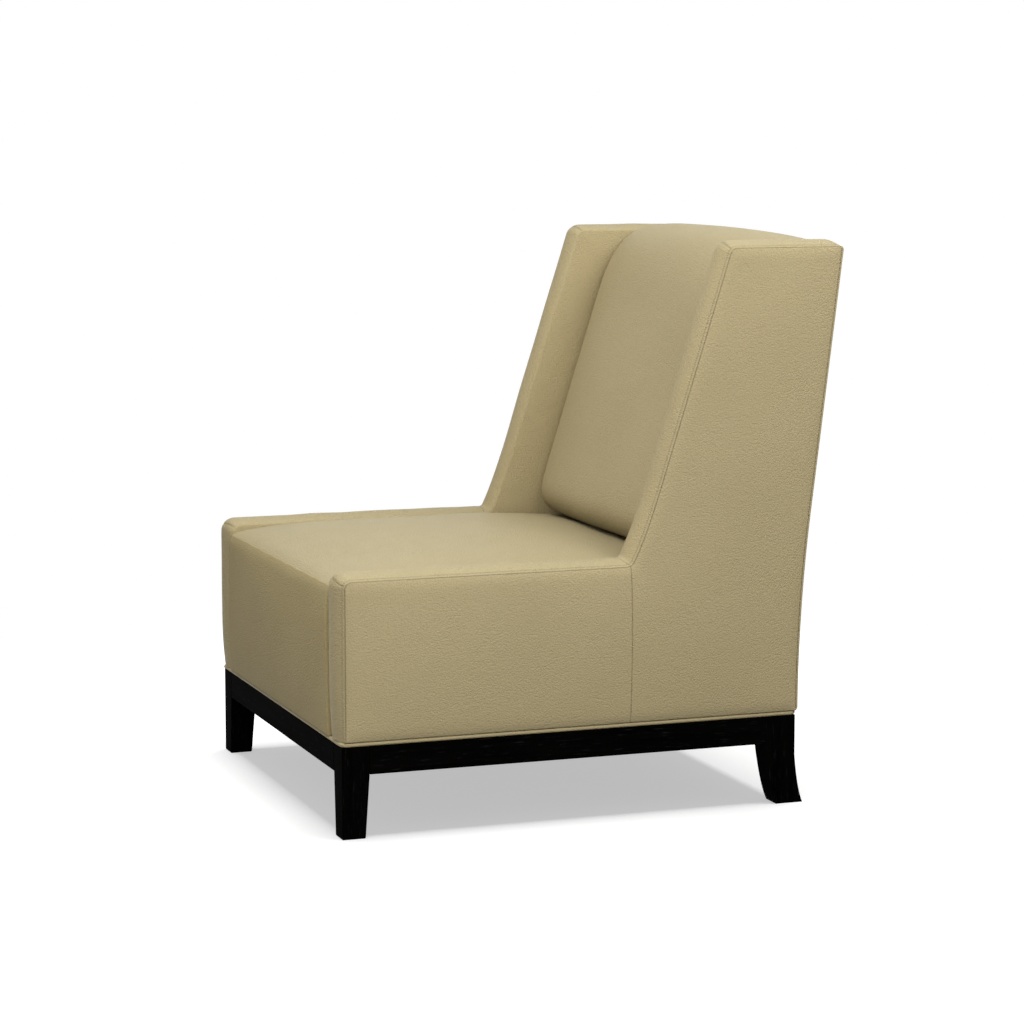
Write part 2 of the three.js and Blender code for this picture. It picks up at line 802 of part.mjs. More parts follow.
// The back's face at its edge, or swelled by the crown: from under the pad, up and over to the rear
function backFaceLine(crown) {
  const face = (z) => wingLine(z) + backSetback;
  const curlTop = backBottomHeight + backBottomCurl;
  const curl = Array.from({ length: curveSteps }, (_, i) => {
    const turn = (Math.PI / 2) * (i / curveSteps);
    const z = curlTop - backBottomCurl * Math.cos(turn);
    return [face(curlTop) - (curlTop - z) * wingSlope + backBottomTuck * (1 - Math.sin(turn)), z];
  });
  const straight = backFaceShares.map((share) => curlTop + (backRollHeight - curlTop) * share);
  const top = rearLine(backTopHeight) - backTopSetback;
  const roll = bezier(
    [
      [face(backRollHeight), backRollHeight],
      [face(backRollHeight + backRollPull), backRollHeight + backRollPull],
      [top - backTopReach, backTopHeight],
      [top, backTopHeight],
    ],
    curveSteps,
  );
  const rear = [rearLine(wingHeight) - skin, wingHeight];
  const lead = [rear[0] - backTopSetback * backTopLeadShare, backTopHeight];
  const over = [...bezier([[top, backTopHeight], lead, rear], wingCornerSteps), rear];
  const under = [stileFront(stileKneeHeight) - strapThickness - 3 * fit, backBottomHeight];
  const line = [under, ...curl, ...straight.map((z) => [face(z), z]), ...roll, ...over];
  return swell(line, crown);
}

// A line moved out by the crown, less near its two ends
function swell(line, crown) {
  const out = offsetLine(line, -backCrown * crown);
  return line.map(([y, z], i) => {
    const end = i / (line.length - 1);
    const rising = Math.max(0, (end - swellFootShare) / swellRiseShare);
    const share = Math.min(1, rising, (1 - end) / swellEndShare);
    return [y + (out[i][0] - y) * share, z + (out[i][1] - z) * share];
  });
}

function backCover() {
  const ring = (crown) => sheetOutline(backFaceLine(crown), leather);
  return loft(acrossWidth(insideHalf, backCrownPowerShare, backDrawShare, ring));
}

function backFoam() {
  const rearFace = strapThickness + 2 * fit;
  const top = wingHeight - frameInset;
  const rear = [
    [rearLine(top) - frameRearInset, top + fit],
    [stileFront(top) - rearFace, top + fit],
    [stileFront(stileKneeHeight) - rearFace, stileKneeHeight],
  ];
  const ring = (crown) => [...offsetLine(backFaceLine(crown), skin), ...rear].reverse();
  return loft(acrossWidth(insideHalf, backCrownPowerShare, backDrawShare, ring));
}

// The plain leather panel behind: plumb, then leaning, with a slight pillow
function outsideBack() {
  return loft(
    outsideLevelShares.map((level) => {
      const z = coverBottom + (wingHeight - coverBottom) * level;
      const full = (1 - Math.abs(2 * level - 1) ** outsideEdgePowerShare) * outsidePillow;
      const face = outsideWidthShares.map((share) => {
        return [share * seamX, rearLine(z) + full * (1 - share ** outsidePowerShare), z];
      });
      return [...face, ...face.map(([x, y]) => [x, y - leather, z]).reverse()];
    }),
  );
}

// Base

function frontLeg() {
  const [x, y] = [baseWidth / 2, -baseDepth / 2];
  const ring = (size, z) => [[x, y, z], [x - size, y, z], [x - size, y + size, z], [x, y + size, z]];
  return loft([ring(legFootSize, 0), ring(legSize, apronBottom), ring(legSize, baseHeight)]);
}

// A rear leg seen from the side: plumb at the top, sweeping back to its foot
function rearLeg() {
  const rear = baseDepth / 2;
  const front = rear - rearLegDepth;
  const footFront = rear + rearLegSweep - rearFootDepth;
  const curve = (shares, from, run, height) =>
    bezier(shares.map(([along, up]) => [from + along * run, up * height]), legCurveSteps);
  const rearCurve = curve(sabreRearShares, rear, rearLegSweep, sabreHeight);
  const frontCurve = curve(sabreFrontShares, front, footFront - front, apronBottom).reverse();
  const outline = [
    [front, baseHeight],
    [rear, baseHeight],
    [rear, apronBottom],
    ...rearCurve,
    [rear + rearLegSweep, 0],
    [footFront, 0],
    ...frontCurve,
  ];
  const taper = (z) => legFootSize + (legSize - legFootSize) * Math.min(1, z / apronBottom);
  const outer = outline.map(([y, z]) => [baseWidth / 2, y, z]);
  return loft([outer, outer.map(([x, y, z]) => [x - taper(z), y, z])]);
}

function crossApron(front) {
  const half = baseWidth / 2 - legSize - fit;
  const [outer, inner] = [baseDepth / 2, baseDepth / 2 - apronThickness];
  const [low, high] = front ? [-outer, -inner] : [inner, outer];
  return block([-half, low, apronBottom], [half, high, baseHeight]);
}

function sideApron() {
  const [low, high] = [legSize + fit - baseDepth / 2, baseDepth / 2 - rearLegDepth - fit];
  return block([baseWidth / 2 - apronThickness, low, apronBottom], [baseWidth / 2, high, baseHeight]);
}

// Where a corner block starts, and how far its leg stands into it
function blockCorner(front) {
  return {
    x: baseWidth / 2 - apronThickness - fit,
    y: baseDepth / 2 - apronThickness - fit,
    legX: legSize - apronThickness,
    legY: (front ? legSize : rearLegDepth) - apronThickness,
    side: front ? -1 : 1,
  };
}

function boltPlace(front) {
  const { x, y, legY, side } = blockCorner(front);
  const boltX = (foamInnerX + railEndX) / 2;
  return [boltX, side * (y - (legY + blockReach - x + boltX) / 2)];
}

// The holes for the bolts of one side, which is 1 or -1
function boltHoles(side) {
  return [true, false].map((front) => {
    const [x, y] = boltPlace(front);
    const [low, high] = [baseHeight - blockHeight - overrun, frameBottom + boltBite + fit];
    return post(side * x, y, low, high, boltDiameter / 2 + fit, boltSides);
  });
}

// An upright round or six-sided post
function post(x, y, low, high, radius, sides) {
  const geometry = new THREE.CylinderGeometry(radius, radius, high - low, sides);
  geometry.rotateX(Math.PI / 2);
  return geometry.translate(x, y, (low + high) / 2);
}

function cornerBlock(front) {
  const { x, y, legX, legY, side } = blockCorner(front);
  const outline = [[legX, 0], [blockReach, 0], [0, blockReach], [0, legY], [legX, legY]];
  const placed = outline.map(([a, b]) => [x - a, side * (y - b)]);
  return cut(slabZ(placed, baseHeight - blockHeight, baseHeight), ...boltHoles(1));
}

function frameBolt(front) {
  const [x, y] = boltPlace(front);
  const under = baseHeight - blockHeight - fit;
  const [low, high] = [under - boltHeadHeight / 2, frameBottom + boltBite];
  const shank = post(x, y, low, high, boltDiameter / 2, boltSides);
  const head = post(x, y, under - boltHeadHeight, under, boltHeadAcross / Math.sqrt(3), 6);
  return join(shank, head);
}

// Trim

// The welt cord lies on the base's top edge all round and is joined at the middle of the rear
function welt() {
  const proud = weltProud - weltDiameter / 2;
  const [x, y] = [baseWidth / 2 + proud, baseDepth / 2 + proud];
  const z = weltBottom + weltDiameter / 2;
  const [cx, cy] = [x - weltCornerRadius, y - weltCornerRadius];
  const corners = [[-cx, cy, 1], [-cx, -cy, 2], [cx, -cy, 3], [cx, cy, 4]];
  const stations = [[-fit / 2, y, z], [(fit - cx) / 2, y, z]];
  for (const [ax, ay, quarter] of corners) {
    for (let i = 0; i <= cornerSteps; i++) {
      const turn = (Math.PI / 2) * (quarter + i / cornerSteps);
      stations.push([ax + weltCornerRadius * Math.cos(turn), ay + weltCornerRadius * Math.sin(turn), z]);
    }
  }
  return rod([...stations, [(cx - fit) / 2, y, z], [fit / 2, y, z]], weltDiameter, weltSides);
}

// The dust cover is stapled under the frame, and the bolts pass through it
function dustCover() {
  const low = [-plyOuterX, railFrontY, dustCoverBottom];
  const high = [plyOuterX, rearFootY - frameRearInset, dustCoverBottom + dustCoverThickness];
  return cut(block(low, high), ...boltHoles(1), ...boltHoles(-1));
}

// The chair

const model = new THREE.Group();
model.position.y = (frontReach - rearReach) / 2;

function add(parent, name, geometry, material) {
  const mesh = new THREE.Mesh(geometry, material);
  mesh.name = name;
  parent.add(mesh);
}

// Pieces that come in a right and a left copy
function addSide(side) {
  const group = new THREE.Group();
  group.scale.x = side === "right" ? 1 : -1;
  add(group, `front_leg_${side}`, frontLeg(), ebony);
  add(group, `rear_leg_${side}`, rearLeg(), ebony);
  add(group, `side_apron_${side}`, sideApron(), ebony);
  add(group, `front_corner_block_${side}`, cornerBlock(true), frameWood);
  add(group, `rear_corner_block_${side}`, cornerBlock(false), frameWood);
  add(group, `front_frame_bolt_${side}`, frameBolt(true), steel);
  add(group, `rear_frame_bolt_${side}`, frameBolt(false), steel);
  add(group, `side_seat_rail_${side}`, sideRail(), frameWood);
  add(group, `side_frame_${side}`, sideFrame(), frameWood);
  add(group, `back_stile_${side}`, backStile(), frameWood);
  add(group, `side_foam_${side}`, sideFoam(), foam);
  add(group, `side_wadding_${side}`, sideWadding(), wadding);
  add(group, `inner_side_cover_${side}`, sideCover(), hide);
  add(group, `outer_arm_panel_${side}`, loft(panelRings(armRows(), 0, leatherBack)), hide);
  add(group, `outer_wing_panel_${side}`, loft(panelRings(wingRows(), 0, leatherBack)), hide);
  model.add(group);
}

function addSprings() {
  for (let i = 0; i < springCount; i++) {
    const x = (i - (springCount - 1) / 2) * springSpacing;
    const stations = springStations(x);
    add(model, `seat_spring_${i + 1}`, rod(stations, springWire, wireSides), steel);
    add(model, `front_spring_clip_${i + 1}`, springClip(x, railFrontY + railThickness / 2, 1), steel);
    add(model, `rear_spring_clip_${i + 1}`, springClip(x, rearRailY() + railThickness / 2, -1), steel);
  }
}

addSide("right");
addSide("left");
addSprings();
add(model, "front_apron", crossApron(true), ebony);
add(model, "rear_apron", crossApron(false), ebony);
add(model, "front_seat_rail", frontSeatRail(), frameWood);
add(model, "rear_seat_rail", rearSeatRail(), frameWood);
add(model, "back_bottom_rail", bottomRail(), frameWood);
add(model, "back_lower_rail", crossRail(stileKneeHeight), frameWood);
add(model, "back_top_rail", crossRail(backTopRailBottom()), frameWood);
add(model, "back_strap_1", backStrap(-strapX), webbing);
add(model, "back_strap_2", backStrap(strapX), webbing);
add(model, "seat_felt", seatFelt(), felt);
add(model, "seat_foam", seatFoam(), foam);
add(model, "back_foam", backFoam(), foam);
add(model, "seat_top_cover", seatTopCover(), hide);
add(model, "seat_front_cover", seatFrontCover(), hide);
add(model, "inside_back_cover", backCover(), hide);
add(model, "outside_back_cover", outsideBack(), hide);
add(model, "bottom_welt", welt(), hide);
add(model, "dust_cover", dustCover(), cambric);

export default model;
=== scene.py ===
import json
import math

import bpy
import numpy as np
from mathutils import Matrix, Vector


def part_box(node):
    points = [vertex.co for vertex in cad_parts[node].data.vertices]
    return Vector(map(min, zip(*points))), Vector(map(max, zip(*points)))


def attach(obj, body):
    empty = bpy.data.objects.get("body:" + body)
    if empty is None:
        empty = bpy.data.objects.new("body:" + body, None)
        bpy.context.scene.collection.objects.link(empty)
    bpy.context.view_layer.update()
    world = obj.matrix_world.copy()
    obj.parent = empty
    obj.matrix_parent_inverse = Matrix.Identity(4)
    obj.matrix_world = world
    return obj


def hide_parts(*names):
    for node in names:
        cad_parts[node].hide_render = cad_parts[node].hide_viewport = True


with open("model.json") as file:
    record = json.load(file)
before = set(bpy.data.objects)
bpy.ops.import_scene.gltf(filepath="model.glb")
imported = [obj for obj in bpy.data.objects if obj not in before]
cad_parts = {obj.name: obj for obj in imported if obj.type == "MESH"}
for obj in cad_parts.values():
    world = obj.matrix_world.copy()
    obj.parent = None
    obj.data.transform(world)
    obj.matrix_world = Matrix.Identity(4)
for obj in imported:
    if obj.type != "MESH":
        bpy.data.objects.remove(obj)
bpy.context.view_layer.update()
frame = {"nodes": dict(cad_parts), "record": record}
nodes = frame["nodes"]


# Places that come from the frame

side_low, side_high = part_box("inner_side_cover_right")
front_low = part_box("front_apron")[0]
rear_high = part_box("rear_apron")[1]
seat_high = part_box("seat_top_cover")[1]

INNER_X = side_low.x
SEAM_X = side_high.x
INSIDE_HALF = seat_high.x
COVER_BOTTOM = side_low.z
BASE_HALF_DEPTH = (rear_high.y - front_low.y) / 2
BASE_CENTRE_Y = (rear_high.y + front_low.y) / 2

# Steps between the rows of a mesh, and the distance within which its points are one

FINE = 0.0011
COARSE = 0.012
WELD_DISTANCE = 2e-6

# Outline of a side, seen from the side: depths count from the middle of the base

FRONT_SEAM_Y = 0.0050 - BASE_HALF_DEPTH
REAR_FOOT_Y = BASE_HALF_DEPTH + 0.004
ARM_HEIGHT = 0.4045
WING_HEIGHT = 0.9055
WING_FOOT_Y = 0.105
WING_SLOPE = 0.159 / (WING_HEIGHT - ARM_HEIGHT)
ELBOW_Y = 0.095
ELBOW_RISE = 0.136
ELBOW_PULL = 0.036
ELBOW_EASE = 0.018
CORNER_RADIUS = 0.012
REAR_BEND_HEIGHT = 0.323
REAR_BEND_REACH = 0.157
REAR_SLOPE = 0.072 / (WING_HEIGHT - REAR_BEND_HEIGHT)
REAR_ROLL = 0.0042

# Padding of a side: its crowned edge, its inner face and its outer panels

SIDE_CROWN = 0.0114
FRONT_CROWN = 0.0138
ARM_SWELL = 0.0012
CREST_X = INNER_X + 0.032
SHOULDER_POWER = 1.65
CROWN_FADE = 0.090
CROWN_REAR_FADE = 0.022
CROWN_FLOOR_SHARE = 0.60
CORNER_TIP = 0.022
EDGE_EASE = 0.010
INNER_PULL = 0.0100
INNER_PULL_REACH = 0.072
INNER_PULL_SHARES = [0.10, 0.35, 0.35, 1.0, 1.0, 0.6, 0.25]
BROAD_PILLOW = 0.0062
BROAD_REACH = 0.140
EDGE_PILLOW = 0.0032
EDGE_REACH = 0.026

# Leather, seams, darts and topstitches

LEATHER = 0.0015
LEATHER_ROOM = 0.0040
SEAM_GAP = 0.00015
SEAM_DEPTH = 0.0009
SEAM_WIDTH = 0.0009
TROUGH_DEPTH = 0.0010
TROUGH_WIDTH = 0.0065
PLAIN_SEAM_SHARE = 0.4
DART_DEPTH = 0.0006
DART_WIDTH = 0.0008
DART_SHADE = 0.6
DART_START_SHARE = 0.10
DART_END = 0.98
DART_END_SHARE = 0.05
ARM_DART_SHARES = (0.52, 0.22)
TOP_DART_SHARES = (0.70, 0.42)
ELBOW_DART = (-0.010, 0.001)
ELBOW_DART_POWER = 1.8
PUCKER_DEPTH = 0.0006
PUCKER_LENGTH = 0.0105
PUCKER_DRIFT = 0.037
PUCKER_REACH = 0.010
STITCH_LINE = 0.0055
STITCH_PITCH = 0.0036
STITCH_LENGTH = 0.0026
STITCH_WIDTH = 0.00055
STITCH_LIFT = 0.0001
STITCH_SHADE = 0.50
STITCH_ASIDE = 0.002
STITCH_AHEAD = 0.0005
GROOVE_DEPTH = 0.00035

# Slow waves, as hand-laid foam and leather have them: seed, length and height

WAVES = {
    "edge": (3, 0.10, 0.0004), "panel": (7, 0.16, 0.0005), "seat_top": (11, 0.20, 0.0012),
    "seat_front": (12, 0.16, 0.0008), "inside_back": (21, 0.22, 0.0014),
    "outside_back": (31, 0.25, 0.0009), "cloth": (41, 0.12, 0.0004),
}

WAVE_FADE = 0.05
WAVE_SIDE_FADE = 0.03

# Seat

SEAT_FRONT_Y = 0.0005 - BASE_HALF_DEPTH
SEAT_REAR_Y = seat_high.y - BASE_CENTRE_Y
SEAT_SEAM_HEIGHT = 0.392
SEAT_EDGE_RISE = 0.016
SEAT_CROWN = 0.021
SEAT_CROWN_POWER = 2.6
SEAT_SIDE_ROLL = 0.009
SEAT_SIDE_DEPTH = 0.014
SEAT_ROLL_START = 0.35
SEAT_ROLL_REACH = 0.03
SEAT_FRONT_BULGE = 0.0090
SEAT_FRONT_BULGE_FALL = 0.70
SEAT_FRONT_EDGE = 0.0052
SEAT_FRONT_EDGE_REACH = 0.026
SEAT_FRONT_SIDE_ROLL = 0.0035
SEAT_FRONT_SIDE_DEPTH = 0.010

# Shares of the seat's depth, with its edge rise and its crown there

SEAT_TOP_SHARES = [
    (0, 0, 0), (0.02, 0.3, 0.14), (0.07, 0.6, 0.42), (0.16, 0.85, 0.74), (0.34, 1, 0.97),
    (0.55, 1, 1), (0.72, 0.97, 0.86), (0.82, 0.86, 0.58), (0.885, 0.72, 0.32), (1, 0.3, 0.1),
]

# Back pad

BACK_SETBACK = 0.057
BACK_FOAM = 0.075
BACK_CROWN = 0.014
BACK_BOTTOM = 0.4068
BACK_KNEE = 0.030
BACK_CURL = 0.064
BACK_TUCK = 0.057
BACK_SHADE_REACH = 0.050
BACK_TOP = 0.917
BACK_ROLL = 0.800
BACK_ROLL_PULL = 0.075
BACK_TOP_SETBACK = 0.066
BACK_TOP_REACH = 0.055
BACK_SIDE_ROLL = 0.016
BACK_SIDE_DEPTH = 0.030
BACK_SPINE_DEPTH = 0.042
SPINE_LOW_END = 0.045
SPINE_HIGH_END = 0.050
BACK_ROLL_LIMIT = 0.75
BACK_CROWN_FALL = 1.5
BACK_REAR_ROOM = 0.0025
BACK_LAP = 0.0005
BACK_WAVE_FADE = 0.04
OUTSIDE_BACK_SWELL = 0.003
OUTSIDE_BACK_TUCK = 0.003
OUTSIDE_BACK_TUCK_REACH = 0.006
OUTSIDE_BACK_LAP = 0.0006

# Steps along the pad's line at which its stretches meet, and how it swells over them

BACK_STEPS = [0, 1, 6, 9, 14, 17]
SWELL_START_SHARE = 0.06
SWELL_RISE_SHARE = 0.25
SWELL_FALL_SHARE = 0.31

# Foam and cloth behind the covers

FOAM_VOXEL = 0.006
FOAM_SHRINK = 0.0026
FOAM_INSET = 0.0042
FOAM_SIDE_ROOM = 0.0022
FOAM_CLEARANCE = 0.0003
FOAM_REAR_ROOM = 0.0024
FOAM_TOP_ROOM = 0.011
WADDING_CLEARANCE = 0.0002
WADDING_INSET = 0.0032
WADDING_THINNEST = 0.0012
CLOTH_STEP = 0.012
WEBBING_SETBACK = 0.0014
WEBBING_THICKNESS = 0.0010
WEBBING_RIB = 0.00025
WEBBING_RIBS = 120
SELVEDGE = 0.0003
WELT_CORNER = 0.009
WELT_PUCKER = 0.00012
WELT_PUCKERS = 180
WELT_FLANGE = 0.0003


# Numbers and lines of points

def growing(distance, reach):
    """0 at no distance, and 1 from the reach on."""
    return np.clip(distance / reach, 0, 1)


def fading(distance, reach):
    """1 at no distance, and 0 from the reach on."""
    return 1 - growing(distance, reach)


def smoothed(share):
    return share * share * (3 - 2 * share)


def narrow(distance, width=SEAM_WIDTH):
    """1 in a narrow line, such as a seam, and next to nothing beside it."""
    return np.exp(-((distance / width) ** 2))


def valley(distance, depth=SEAM_DEPTH, width=SEAM_WIDTH, trough=0.0):
    """How deep a seam draws the leather in: a narrow line, in a soft trough."""
    return depth * narrow(distance, width) + trough * np.exp(-distance / TROUGH_WIDTH)


def points_at(*axes):
    """Points from their coordinates, each of which is a number or an array."""
    return np.stack(np.broadcast_arrays(*axes), -1)


def unit(vectors):
    return vectors / np.maximum(np.linalg.norm(vectors, axis=-1, keepdims=True), 1e-12)


def waves(points, surface):
    """The height of a surface's slow waves at its points."""
    seed, size, amount = WAVES[surface]
    draws = np.random.default_rng(seed)
    total = np.zeros(points.shape[:-1])
    for _ in range(9):
        direction = unit(draws.normal(size=3))
        length = size * draws.uniform(0.7, 1.8)
        total += np.sin(points @ direction * (2 * math.pi / length) + draws.uniform(0, 6.28))
    return total * amount / 3


def spaced(low, high, fine, coarse, dense_low=0.0, dense_high=0.0):
    """Numbers from low to high, close together over a stretch at either end."""
    length = high - low
    places = [0.0]
    while places[-1] < length:
        at = places[-1]
        near_low = max(0.0, at - dense_low) if dense_low else length
        near_high = max(0.0, length - at - dense_high) if dense_high else length
        away = min(near_low, near_high)
        places.append(at + min(coarse, fine + away * 0.35))
    return low + np.array(places) * (length / places[-1])


def bezier(controls, shares):
    """Points on the Bezier curve of its controls, at shares from its start to its end."""
    points = [np.array(c, float)[None, :] for c in controls]
    shares = np.asarray(shares)[:, None]
    while len(points) > 1:
        points = [a * (1 - shares) + b * shares for a, b in zip(points, points[1:])]
    return points[0]


def arc(centre, radius, turns):
    return points_at(centre[0] + radius * np.cos(turns), centre[1] + radius * np.sin(turns))


def chained(stretches):
    """One line from stretches that each start where the one before ends."""
    return np.concatenate([stretch[:-1] for stretch in stretches] + [stretches[-1][-1:]])


def left_normals(line):
    """Unit directions to the left of a line, at each of its points."""
    along = unit(np.gradient(line, axis=0))
    return points_at(-along[:, 1], along[:, 0])


def travelled(line):
    """The run from a line's start to each of its points."""
    steps = np.linalg.norm(np.diff(line, axis=0), axis=1)
    return np.concatenate([[0.0], np.cumsum(steps)])


def read_at(places, run, points):
    """Points read off a line at places along its run."""
    return np.stack([np.interp(places, run, column) for column in points.T], 1)


def along_line(corners, count):
    """Points spread evenly along a line of corners."""
    line = np.array(corners, float)
    run = travelled(line)
    return read_at(np.linspace(0, run[-1], count), run, line)


def nearest_on(points, line):
    """How far points are from a line, and the run along it at which each is nearest to it."""
    nearest, run = np.full(points.shape[:-1], 1e9), np.zeros(points.shape[:-1])
    for a, b, start in zip(line[:-1], line[1:], travelled(line)):
        step = b - a
        share = np.clip(((points - a) @ step) / max(step @ step, 1e-12), 0, 1)
        gap = np.linalg.norm(points - a - share[..., None] * step, axis=-1)
        run = np.where(gap < nearest, start + share * np.linalg.norm(step), run)
        nearest = np.minimum(nearest, gap)
    return nearest, run


def smooth_curve(table, at):
    """A table's columns read at places on its first column, through an easy curve."""
    x, *columns = np.array(table, float).T
    k = np.clip(np.searchsorted(x, at, side="right") - 1, 0, len(x) - 2)
    width = np.diff(x)
    t = (at - x[k]) / width[k]
    read = []
    for y in columns:
        rise = np.diff(y) / width
        slope = np.concatenate([rise[:1], (rise[1:] + rise[:-1]) / 2, rise[-1:]])
        slope[1:-1][rise[1:] * rise[:-1] <= 0] = 0
        a = (1 + 2 * t) * (1 - t) ** 2 * y[k] + t * (1 - t) ** 2 * width[k] * slope[k]
        b = t * t * (3 - 2 * t) * y[k + 1] + t * t * (t - 1) * width[k] * slope[k + 1]
        read.append(a + b)
    return read


# The outline of a side

def wing_line(z):
    """The wing's front edge, which leans back."""
    return WING_FOOT_Y + (z - ARM_HEIGHT) * WING_SLOPE


def rear_line(z):
    """The rear face's line: plumb at the bottom, a bend, then a straight lean to the top."""
    leaned = REAR_FOOT_Y + (z - REAR_BEND_HEIGHT) * REAR_SLOPE
    turned = growing(z - REAR_BEND_HEIGHT + REAR_BEND_REACH, 2 * REAR_BEND_REACH)
    bent = REAR_FOOT_Y + turned**2 * REAR_BEND_REACH * REAR_SLOPE
    return np.where(z >= REAR_BEND_HEIGHT + REAR_BEND_REACH, leaned, bent)


def seam_line():
    """The outer seam's places, where the padding over each stands out, and each stretch's start."""
    lean = math.atan2(WING_SLOPE, -1)
    arc_foot = WING_HEIGHT - CORNER_RADIUS * (1 - math.sin(lean))
    arm_turn = np.array([FRONT_SEAM_Y + CORNER_RADIUS, ARM_HEIGHT - CORNER_RADIUS])
    top_y = wing_line(arc_foot) - math.cos(lean) * CORNER_RADIUS
    top_turn = np.array([top_y, WING_HEIGHT - CORNER_RADIUS])
    pull, rise = ARM_HEIGHT + ELBOW_PULL, ARM_HEIGHT + ELBOW_RISE
    elbow = [(ELBOW_Y, ARM_HEIGHT), (wing_line(pull), pull), (wing_line(rise), rise)]
    wing_z = spaced(rise, arc_foot, FINE, COARSE, 0.0, ELBOW_EASE)
    top_end = float(rear_line(WING_HEIGHT)) - REAR_ROLL
    stretches = [
        points_at(FRONT_SEAM_Y, spaced(COVER_BOTTOM, arm_turn[1], FINE, COARSE, 0.004, ELBOW_EASE)),
        arc(arm_turn, CORNER_RADIUS, np.linspace(math.pi, math.pi / 2, 29)),
        points_at(spaced(arm_turn[0], ELBOW_Y, FINE, COARSE, 0.010, ELBOW_EASE), ARM_HEIGHT),
        bezier(elbow, spaced(0, 1, 0.009, 0.07, 0.14)),
        points_at(wing_line(wing_z), wing_z),
        arc(top_turn, CORNER_RADIUS, np.linspace(lean, math.pi / 2, 15)),
        points_at(spaced(top_turn[0], top_end, FINE, COARSE, 0.012, 0.010), WING_HEIGHT),
    ]
    starts = np.cumsum([0] + [len(stretch) - 1 for stretch in stretches])
    at = chained(stretches)
    out = left_normals(at)
    out[: starts[1]] = (-1, 0)
    out[starts[2] : starts[3]] = (0, 1)
    out[starts[6] :] = (0, 1)
    for first, end, centre in ((starts[1], starts[2], arm_turn), (starts[5], starts[6], top_turn)):
        out[first : end + 1] = tipped_corner(at[first : end + 1], centre)
    return at, eased_corner(at, out, starts[3]), starts


def tipped_corner(at, centre):
    """Where the padding over a rounded corner stands: round a tighter corner outside it."""
    radius = np.linalg.norm(at[0] - centre)
    first, last = (at[0] - centre) / radius, (at[-1] - centre) / radius
    mitre = (first + last) / (1 + first @ last)
    reach = radius + SIDE_CROWN
    tip = centre + mitre * (reach - CORNER_TIP)
    low, high = (math.atan2(way[1], way[0]) for way in (first, last))
    bend = arc(tip, CORNER_TIP, np.linspace(low, high, 40))
    path = np.concatenate([[centre + first * reach], bend, [centre + last * reach]])
    run, share = travelled(path), travelled(at)
    return (read_at(share / share[-1] * run[-1], run, path) - at) / SIDE_CROWN


def eased_corner(at, out, corner):
    """Directions turned towards the mitre beside an inward corner, so that the padding's lines
    don't cross there, with the corner itself rounded a little."""
    before, after = out[corner - 3], out[corner + 3]
    mitre = (before + after) / (1 + before @ after)
    along = np.abs(travelled(at) - travelled(at)[corner])
    share = smoothed(fading(along, ELBOW_EASE))[:, None]
    turned = out * (1 - share) + mitre * share
    window = np.clip(1.8 - along / (ELBOW_EASE / 2), 0, 1)[:, None]
    for _ in range(60):
        for values in (at, turned):
            middle = (values[:-2] + values[2:]) / 2
            values[1:-1] += (middle - values[1:-1]) * window[1:-1] * 0.7
    return turned


SEAM_AT, SEAM_OUT, STARTS = seam_line()
SEAM_RUN = travelled(SEAM_AT)
ARM_FIRST, ARM_LEVEL, ELBOW, TOP_TURN, TOP_FIRST = STARTS[[1, 2, 3, 5, 6]]
ELBOW_LINE = np.array([[SEAM_AT[ELBOW, 0], COVER_BOTTOM], list(SEAM_AT[ELBOW])])


def side_grids():
    """Grids of places (y, z) that fill a side's outline up to the seam: an arm part by column, and
    a wing part by row."""
    shares = (SEAM_AT[: ARM_FIRST + 1, 1] - COVER_BOTTOM) / (SEAM_AT[ARM_FIRST, 1] - COVER_BOTTOM)
    y, z = SEAM_AT[ARM_FIRST : ELBOW + 1].T[:, :, None]
    arm = points_at(y, COVER_BOTTOM + shares * (z - COVER_BOTTOM))
    fronts = np.concatenate([arm[-1, :-1], SEAM_AT[ELBOW : TOP_FIRST + 1]])
    top = SEAM_AT[TOP_FIRST:, 0]
    across = (top - top[0]) / (top[-1] - top[0])
    y, z = fronts.T[:, :, None]
    return arm, points_at(y + across * (rear_line(z) - REAR_ROLL - y), z)


ARM_GRID, WING_GRID = side_grids()


# Meshes: a mesh is a pair of points and faces

def joined(*grids):
    """The mesh of several grids, each turned over or not, with the points that they share made one."""
    points, faces, offset = [], [], 0
    for grid, turned in grids:
        rows, columns = grid.shape[:2]
        a = np.arange(rows * columns).reshape(rows, columns) + offset
        quads = np.stack([a[:-1, :-1], a[:-1, 1:], a[1:, 1:], a[1:, :-1]], -1).reshape(-1, 4)
        faces.append(quads[:, ::-1] if turned else quads)
        points.append(grid.reshape(rows * columns, -1))
        offset += rows * columns
    return welded(np.concatenate(points), np.concatenate(faces))


def welded(points, faces):
    """The same mesh with points at one place made one, and faces that shrank to a line left out."""
    keys = np.round(points[:, :3] / WELD_DISTANCE).astype(np.int64)
    _, first, same = np.unique(keys, axis=0, return_index=True, return_inverse=True)
    faces = same.reshape(-1)[faces]
    kept = (np.diff(np.sort(faces, axis=1), axis=1) == 0).sum(1) < 2
    return points[first], faces[kept]


def boxed(outer, inner):
    """A closed solid between two grids of the same size, with walls along their four edges."""
    return joined(
        (outer, False), (inner, True),
        (np.stack([inner[0], outer[0]]), False), (np.stack([outer[-1], inner[-1]]), False),
        (np.stack([inner[:, 0], outer[:, 0]], 1), False),
        (np.stack([outer[:, -1], inner[:, -1]], 1), False),
    )


